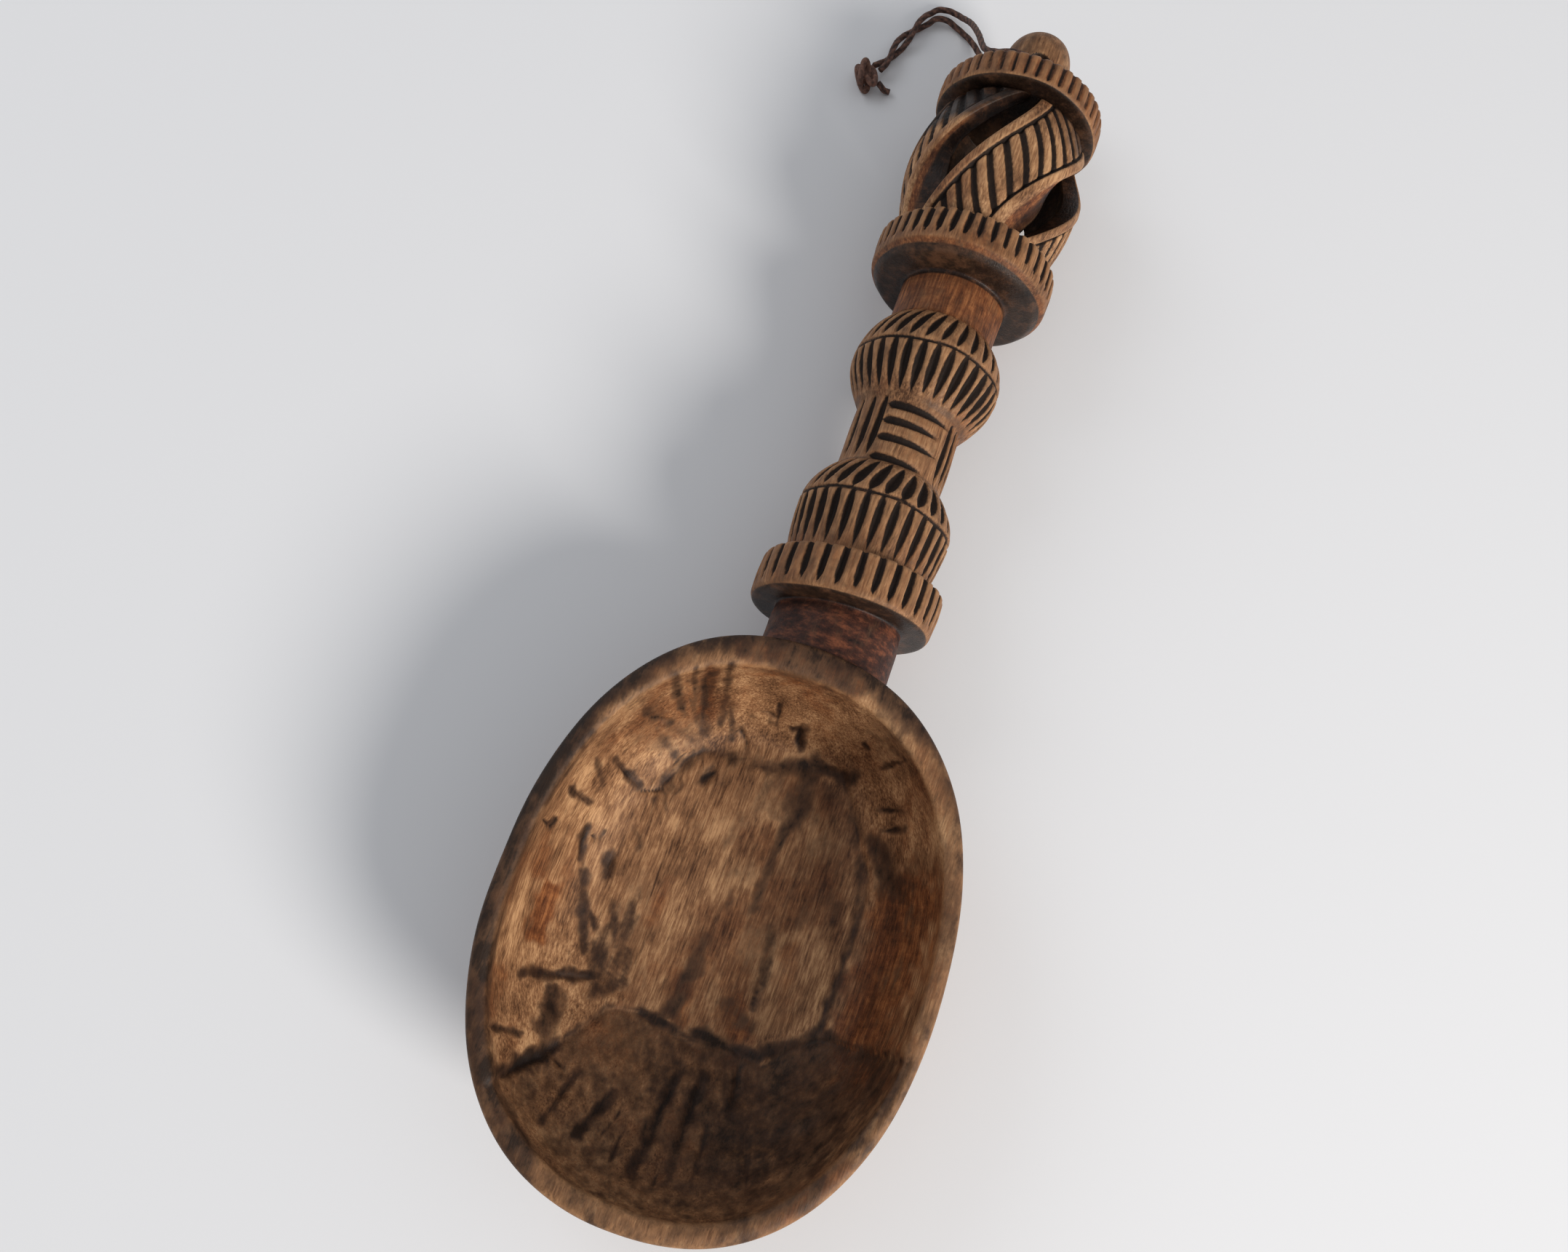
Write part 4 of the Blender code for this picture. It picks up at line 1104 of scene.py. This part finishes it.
def sum_beside(ends, values):
    """At each point, the sum of the values of the points that share an edge with it."""
    a, b = ends
    return np.bincount(a, values[b], len(values)) + np.bincount(b, values[a], len(values))


def mend_seams(made):
    """Gives the new points along the joins the marks of the points beside them."""
    ends = edge_ends(made.data)
    marks = np.zeros((len(MARKS), len(made.data.vertices)), np.float32)
    layers = [made.data.attributes[mark].data for mark in MARKS]
    for layer, row in zip(layers, marks):
        layer.foreach_get("value", row)
    for _ in range(2):
        marked = marks.any(axis=0)
        beside = sum_beside(ends, marked)
        bare = ~marked & (beside > 0)
        for row in marks:
            row[bare] = sum_beside(ends, row)[bare] / beside[bare]
    for layer, row in zip(layers, marks):
        layer.foreach_set("value", row)


wood = bowl_wood
wood.name = "carved_spoon_wood"
for part in (handle_wood, knob_wood, *ribbons):
    combine(wood, part, "UNION")
combine(wood, hole_cutter(), "DIFFERENCE")
mend_seams(wood)
wood.data.shade_smooth()
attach(wood, "spoon")
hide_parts("carved_spoon")
layers = [layer.name for layer in wood.data.attributes if layer.domain == "POINT"]
print("wood:", len(wood.data.polygons), "faces with", layers)

# %% [markdown]
# ## How the wood looks
# Worn edges are paler than the hollows between them, and the hollows are darkened as painted shade, so
# every vertex also gets an `edge` value from its neighbours: how far it stands out of the surface round it.
# The finish then mixes tan wood with long grain, dark red wood, stains with some painted shade, soot in the
# cuts, soot and painted shade elsewhere, painted shade in the hollows, and a polish on the sooty and
# shaded places.


# %% Measure the edges
EDGE_REACH = 0.0006  # a point that stands out this far counts as a full edge
EDGE_PASSES = 3


def vertex_vectors(mesh, name):
    values = np.empty(3 * len(mesh.vertices))
    mesh.vertices.foreach_get(name, values)
    return values.reshape(-1, 3)


def mark_edges(mesh):
    place, normal = vertex_vectors(mesh, "co"), vertex_vectors(mesh, "normal")
    ends = edge_ends(mesh)
    near = np.maximum(sum_beside(ends, np.ones(len(place))), 1)
    middle = np.stack([sum_beside(ends, column) / near for column in place.T], axis=1)
    stands = np.einsum("ij,ij->i", place - middle, normal) / EDGE_REACH
    for _ in range(EDGE_PASSES):
        stands = 0.5 * stands + 0.5 * sum_beside(ends, stands) / near
    layer = mesh.attributes.new("edge", "FLOAT", "POINT")
    layer.data.foreach_set("value", np.clip(stands, -1, 1).astype(np.float32))
    return stands


stands = mark_edges(wood.data)
print("edge values, low to high:", np.round(np.percentile(stands, [1, 10, 50, 90, 99]), 3))


# %% Wood
def wood_finish():
    finish = Finish("oiled wood")
    grain = finish.noise((420, 16, 420), 5.0, 0.6, 0.4)
    fibre = finish.noise((1900, 150, 1900), 4.0, 0.65)
    blotch = finish.noise((90, 52, 90), 6.0, 0.68)
    patch = finish.noise((46, 30, 46), 5.0, 0.62)
    mottle = finish.noise((230, 480, 230), 6.0, 0.70)
    fine = finish.noise((1500, 700, 1500), 3.0, 0.6)
    ragged = finish.noise((340, 190, 340), 4.0, 0.6)
    fleck = finish.noise((800, 75, 800), 4.0, 0.7, 0.6)
    shade = 0.10 * grain + 0.40 * fibre + 0.50 * blotch
    tan = finish.ramp(shade, (0.40, (86, 56, 36)), (0.50, (155, 111, 76)), (0.60, (214, 166, 120)))
    streaked = 0.5 * shade + 0.2 * mottle + 0.3 * fleck
    orange = finish.ramp(streaked, (0.42, (62, 32, 18)), (0.50, (116, 67, 38)), (0.58, (168, 108, 64)))
    deep = finish.ramp(mottle, (0.34, (26, 12, 9)), (0.50, (68, 36, 25)), (0.68, (126, 72, 47)))
    clouded = 0.4 * patch + 0.4 * blotch + 0.2 * fibre
    brown = finish.ramp(clouded, (0.40, (34, 21, 15)), (0.50, (66, 43, 30)), (0.60, (104, 74, 52)))
    black = finish.ramp(fine, (0.35, (8, 4, 3)), (0.65, (26, 15, 11)))
    soot_and_shade_mottle = 0.5 * blotch + 0.5 * mottle
    soot_and_shade_tone = finish.ramp(soot_and_shade_mottle, (0.40, (13, 9, 8)), (0.50, (32, 22, 18)), (0.60, (82, 54, 38)))
    edge = finish.mark("edge")
    worn = edge.ease(0.02, 0.14)
    painted_hollow_shade = (0 - edge).ease(0.03, 0.20)
    red_mark = finish.mark("red")
    red = (red_mark + 1.2 * (blotch - 0.5)).ease(0.20, 0.75) * red_mark.ease(0.02, 0.2)
    stain_and_shade_mark = finish.mark("stain")
    rough_stain_and_shade = stain_and_shade_mark + 0.8 * (fibre - 0.5) + 1.6 * (blotch - 0.5) + 1.1 * (ragged - 0.5)
    # Stains, and painted shade along the bowl's creases, the floor's upper edge and the right wall.
    stain = rough_stain_and_shade.ease(0.20, 0.85) * stain_and_shade_mark.ease(0.02, 0.25)
    strong = rough_stain_and_shade.ease(0.75, 1.15) * stain_and_shade_mark.ease(0.02, 0.25)
    cut = (finish.mark("cut") + 0.5 * (fine - 0.5)).ease(0.18, 0.62)
    # Soot under the collars, and painted shade inside the cage and in the cord's hole, made nearly black.
    soot = (finish.mark("soot") + 0.7 * (blotch - 0.5)).ease(0.25, 0.75)
    layers = (  # from the bare wood up: a colour, and how much of it
        (orange, 0.55 * patch.ease(0.50, 0.64)),
        (tone(62, 40, 27), 0.50 * fleck.ease(0.56, 0.68)),
        (finish.mix(orange, deep, red_mark.ease(0.80, 0.95)), red),
        (tone(186, 140, 98), 0.40 * worn),
        (brown, 0.95 * stain),
        (tone(24, 15, 11), 0.85 * strong),
        # Painted shade in the hollows, where the surface sinks below its neighbours.
        (tone(38, 22, 15), 0.60 * painted_hollow_shade),
        (soot_and_shade_tone, 0.94 * soot),
        (black, 0.96 * cut),
    )
    colour = tan
    for layer, share in layers:
        colour = finish.mix(colour, layer, share)
    roughness = 0.55 + 0.2 * (fine - 0.5) - 0.16 * soot + 0.15 * cut
    normal = finish.bump(0.2 * grain + 0.5 * fibre + 0.3 * fine, 0.45, 0.0006)
    finish.shade(Base_Color=colour, Roughness=roughness, Specular_IOR_Level=0.24, Normal=normal)
    return finish.material


def dress(made, material):
    made.data.materials.clear()
    made.data.materials.append(material)


dress(wood, wood_finish())
print("finish:", wood.data.materials[0].name)

# %% [markdown]
# ## The cord
# One cord goes down through the knob. Both free strands bend to the left, meet on the table, wind once
# round each other and end in a knot with a short tail. The routes are the same as the solids'. Each strand
# is a tube of mesh round its route, a little lumpy along its length.

# %% Routes
HOLE_FOOT = Vector((AXIS.x, CORD_HOLE_STATION - LENGTH / 2, 0))
CORD_DIAMETER = 0.0020
UPPER_LEAD = (
    (0.0, 0.0, 0.0272), (0.0, 0.0, 0.0318), (-0.0008, 0.0001, 0.0352), (-0.0040, 0.0004, 0.0384),
    (-0.0085, 0.0010, 0.0378), (-0.0130, 0.0026, 0.0336), (-0.0170, 0.0070, 0.0280),
    (-0.0205, 0.0180, 0.0200), (-0.0240, 0.0285, 0.0110), (-0.0280, 0.0350, 0.0046),
    (-0.0322, 0.0374, 0.0026), (-0.0358, 0.0366, 0.0026),
)
LOWER_LEAD = (
    (0.0, 0.0, 0.0260), (0.0, 0.0, 0.0216), (-0.0006, 0.0002, 0.0180), (-0.0032, 0.0020, 0.0144),
    (-0.0072, 0.0066, 0.0106), (-0.0120, 0.0140, 0.0068), (-0.0168, 0.0230, 0.0034),
    (-0.0220, 0.0294, 0.0018), (-0.0276, 0.0326, 0.0016), (-0.0325, 0.0338, 0.0024),
)
PAIR_ROUTE = (
    (-0.0370, 0.0334, 0.0025), (-0.0400, 0.0286, 0.0025), (-0.0421, 0.0236, 0.0025),
    (-0.0436, 0.0188, 0.0025), (-0.0449, 0.0142, 0.0026), (-0.0460, 0.0102, 0.0029),
    (-0.0477, 0.0065, 0.0034),
)
PAIR_SPREAD = 0.0013
PAIR_TURNS = 1.0
PAIR_STEP = 0.0030
TAIL_ROUTE = (
    (-0.0456, 0.0012, 0.0034), (-0.0445, 0.0010, 0.0025), (-0.0432, 0.0008, 0.0016),
    (-0.0414, 0.0010, 0.0012),
)
KNOT_PLACE = Vector((-0.0503, 0.0018, 0.0038))
KNOT_HEADING = math.radians(112)
KNOT_LENGTH = 0.0098
KNOT_RADIUS = 0.0041
CURVE_STEPS = 24


def smooth_route(points, spacing):
    """Points at an even spacing on a smooth curve through the route's own points, and its length."""
    knots = np.array([points[0], *points, points[-1]], float)
    fine = []
    for a, b, c, d in zip(knots, knots[1:], knots[2:], knots[3:]):
        for t in np.linspace(0, 1, CURVE_STEPS, endpoint=False):
            square = (2 * a - 5 * b + 4 * c - d) * t**2
            cube = (3 * b - a - 3 * c + d) * t**3
            fine.append(0.5 * (2 * b + (c - a) * t + square + cube))
    walk, line = evenly(np.array([*fine, knots[-1]]), spacing)
    return line, walk[-1]


def twisted_pair(side):
    middle = [Vector(place) for place in smooth_route(PAIR_ROUTE, PAIR_STEP)[0]]
    last = len(middle) - 1
    strand = []
    for i, place in enumerate(middle):
        ahead = middle[min(i + 1, last)] - middle[max(i - 1, 0)]
        across = Vector((ahead.y, -ahead.x, 0)).normalized()
        turn = 2 * math.pi * PAIR_TURNS * i / last
        strand.append(place + side * PAIR_SPREAD * (across * math.cos(turn) + Vector((0, 0, math.sin(turn)))))
    return strand


ROUTES = {
    "cord_upper_strand": [*UPPER_LEAD, *twisted_pair(1)],
    "cord_lower_strand": [*LOWER_LEAD, *twisted_pair(-1)],
    "cord_tail": TAIL_ROUTE,
}
print("routes:", {name: len(route) for name, route in ROUTES.items()})

# %% Tubes
TUBE_SIDES = 16
TUBE_STEP = 0.0004
PLY_TURN = 0.0042  # one turn of the cord's own lay
PLY_RIDGE = 0.045


def tube_rings(line, side, up, radius):
    """Rings of points round a line, given what lies beside and above each of its points."""
    turn = round_turn(TUBE_SIDES)[None, :, None]
    return line[:, None] + radius * (np.cos(turn) * side[:, None] + np.sin(turn) * up[:, None])


def tube(name, route):
    """A closed tube along a route, with the soft ridges of a twisted lay."""
    line, length = smooth_route(route, TUBE_STEP)
    line += np.array(HOLE_FOOT)
    ahead = np.gradient(line, axis=0)
    ahead /= np.linalg.norm(ahead, axis=1, keepdims=True)
    side = np.empty_like(line)
    side[0] = np.cross(ahead[0], (0.3, 0.8, 0.5))
    for i in range(1, len(line)):
        side[i] = side[i - 1] - ahead[i] * (side[i - 1] @ ahead[i])
        side[i] /= np.linalg.norm(side[i])
    side[0] /= np.linalg.norm(side[0])
    walked = np.arange(len(line)) * length / (len(line) - 1)
    ridge = np.cos(3 * round_turn(TUBE_SIDES) - 2 * math.pi * walked[:, None] / PLY_TURN)
    radius = CORD_DIAMETER / 2 * (1 - PLY_RIDGE + PLY_RIDGE * ridge)
    rings = tube_rings(line, side, np.cross(ahead, side), radius[..., None])
    # On the cord the cut mark is painted shade in the grooves of the lay.
    made = grid_mesh(name, rings, {"cut": 0.5 - 0.5 * ridge})
    made.data.shade_smooth()
    return made, line, length


strands = {name: tube(name + "_look", route) for name, route in ROUTES.items()}
print("cord lengths:", {name: round(1000 * made[2], 1) for name, made in strands.items()}, "mm")

# %% Tied knot
KNOT_POINTS = 220
KNOT_VOXEL = 0.00022


def tied_knot():
    """Three crossing lobes of cord pulled tight, made one surface."""
    t = round_turn(KNOT_POINTS)
    reach = (KNOT_RADIUS - CORD_DIAMETER / 2) / 3
    line = np.stack(
        [reach * (np.sin(t) + 2 * np.sin(2 * t)), reach * (np.cos(t) - 2 * np.cos(2 * t)),
         -(KNOT_LENGTH - CORD_DIAMETER) / 2 * np.sin(3 * t)], axis=1)
    ahead = np.roll(line, -1, axis=0) - np.roll(line, 1, axis=0)
    side = np.cross(ahead, line + np.array((0, 0, 1e-5)))
    side /= np.linalg.norm(side, axis=1, keepdims=True)
    up = np.cross(ahead, side)
    up /= np.linalg.norm(up, axis=1, keepdims=True)
    rings = tube_rings(line, side, up, CORD_DIAMETER / 2)
    index = np.arange(rings.shape[0] * TUBE_SIDES).reshape(rings.shape[:2])
    ahead = np.roll(index, -1, 1)
    faces = np.stack([index, ahead, np.roll(ahead, -1, 0), np.roll(index, -1, 0)], axis=-1)
    mesh = bpy.data.meshes.new("tied_knot")
    mesh.from_pydata(rings.reshape(-1, 3).tolist(), [], faces.reshape(-1, 4).tolist())
    made = put("cord_knot_look", mesh)
    made.location = HOLE_FOOT + KNOT_PLACE
    made.rotation_euler = (0, math.pi / 2, KNOT_HEADING)
    remesh = made.modifiers.new("one surface", "REMESH")
    remesh.mode = "VOXEL"
    remesh.voxel_size = KNOT_VOXEL
    relax = made.modifiers.new("soft", "SMOOTH")
    relax.iterations = 3
    settle(made)
    made.data.shade_smooth()
    return made


knot = tied_knot()
print("knot:", len(knot.data.polygons), "faces")


# %% Cord finish
def cord_finish():
    finish = Finish("dark cord")
    fibre = finish.noise((900, 900, 900), 4.0, 0.6)
    groove = finish.mark("cut")
    # Painted shade: the cord is darker in the grooves of its lay.
    shade = fibre - 0.25 * groove
    colour = finish.ramp(shade, (0.20, (44, 27, 22)), (0.45, (94, 63, 51)), (0.70, (138, 98, 80)))
    finish.shade(Base_Color=colour, Roughness=0.72, Normal=finish.bump(fibre, 0.5, 0.0004))
    return finish.material


fibre = cord_finish()
tail = strands["cord_tail"][0]
for name, made in [*[(name, strand[0]) for name, strand in strands.items()], ("cord_knot", knot)]:
    dress(made, fibre)
    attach(made, "hanging_loop")
    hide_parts(name)
for name, pieces in (("cord_upper_strand", [knot, tail]), ("cord_lower_strand", [])):
    made, line, length = strands[name]
print("cords declared:", list(strands)[:2])
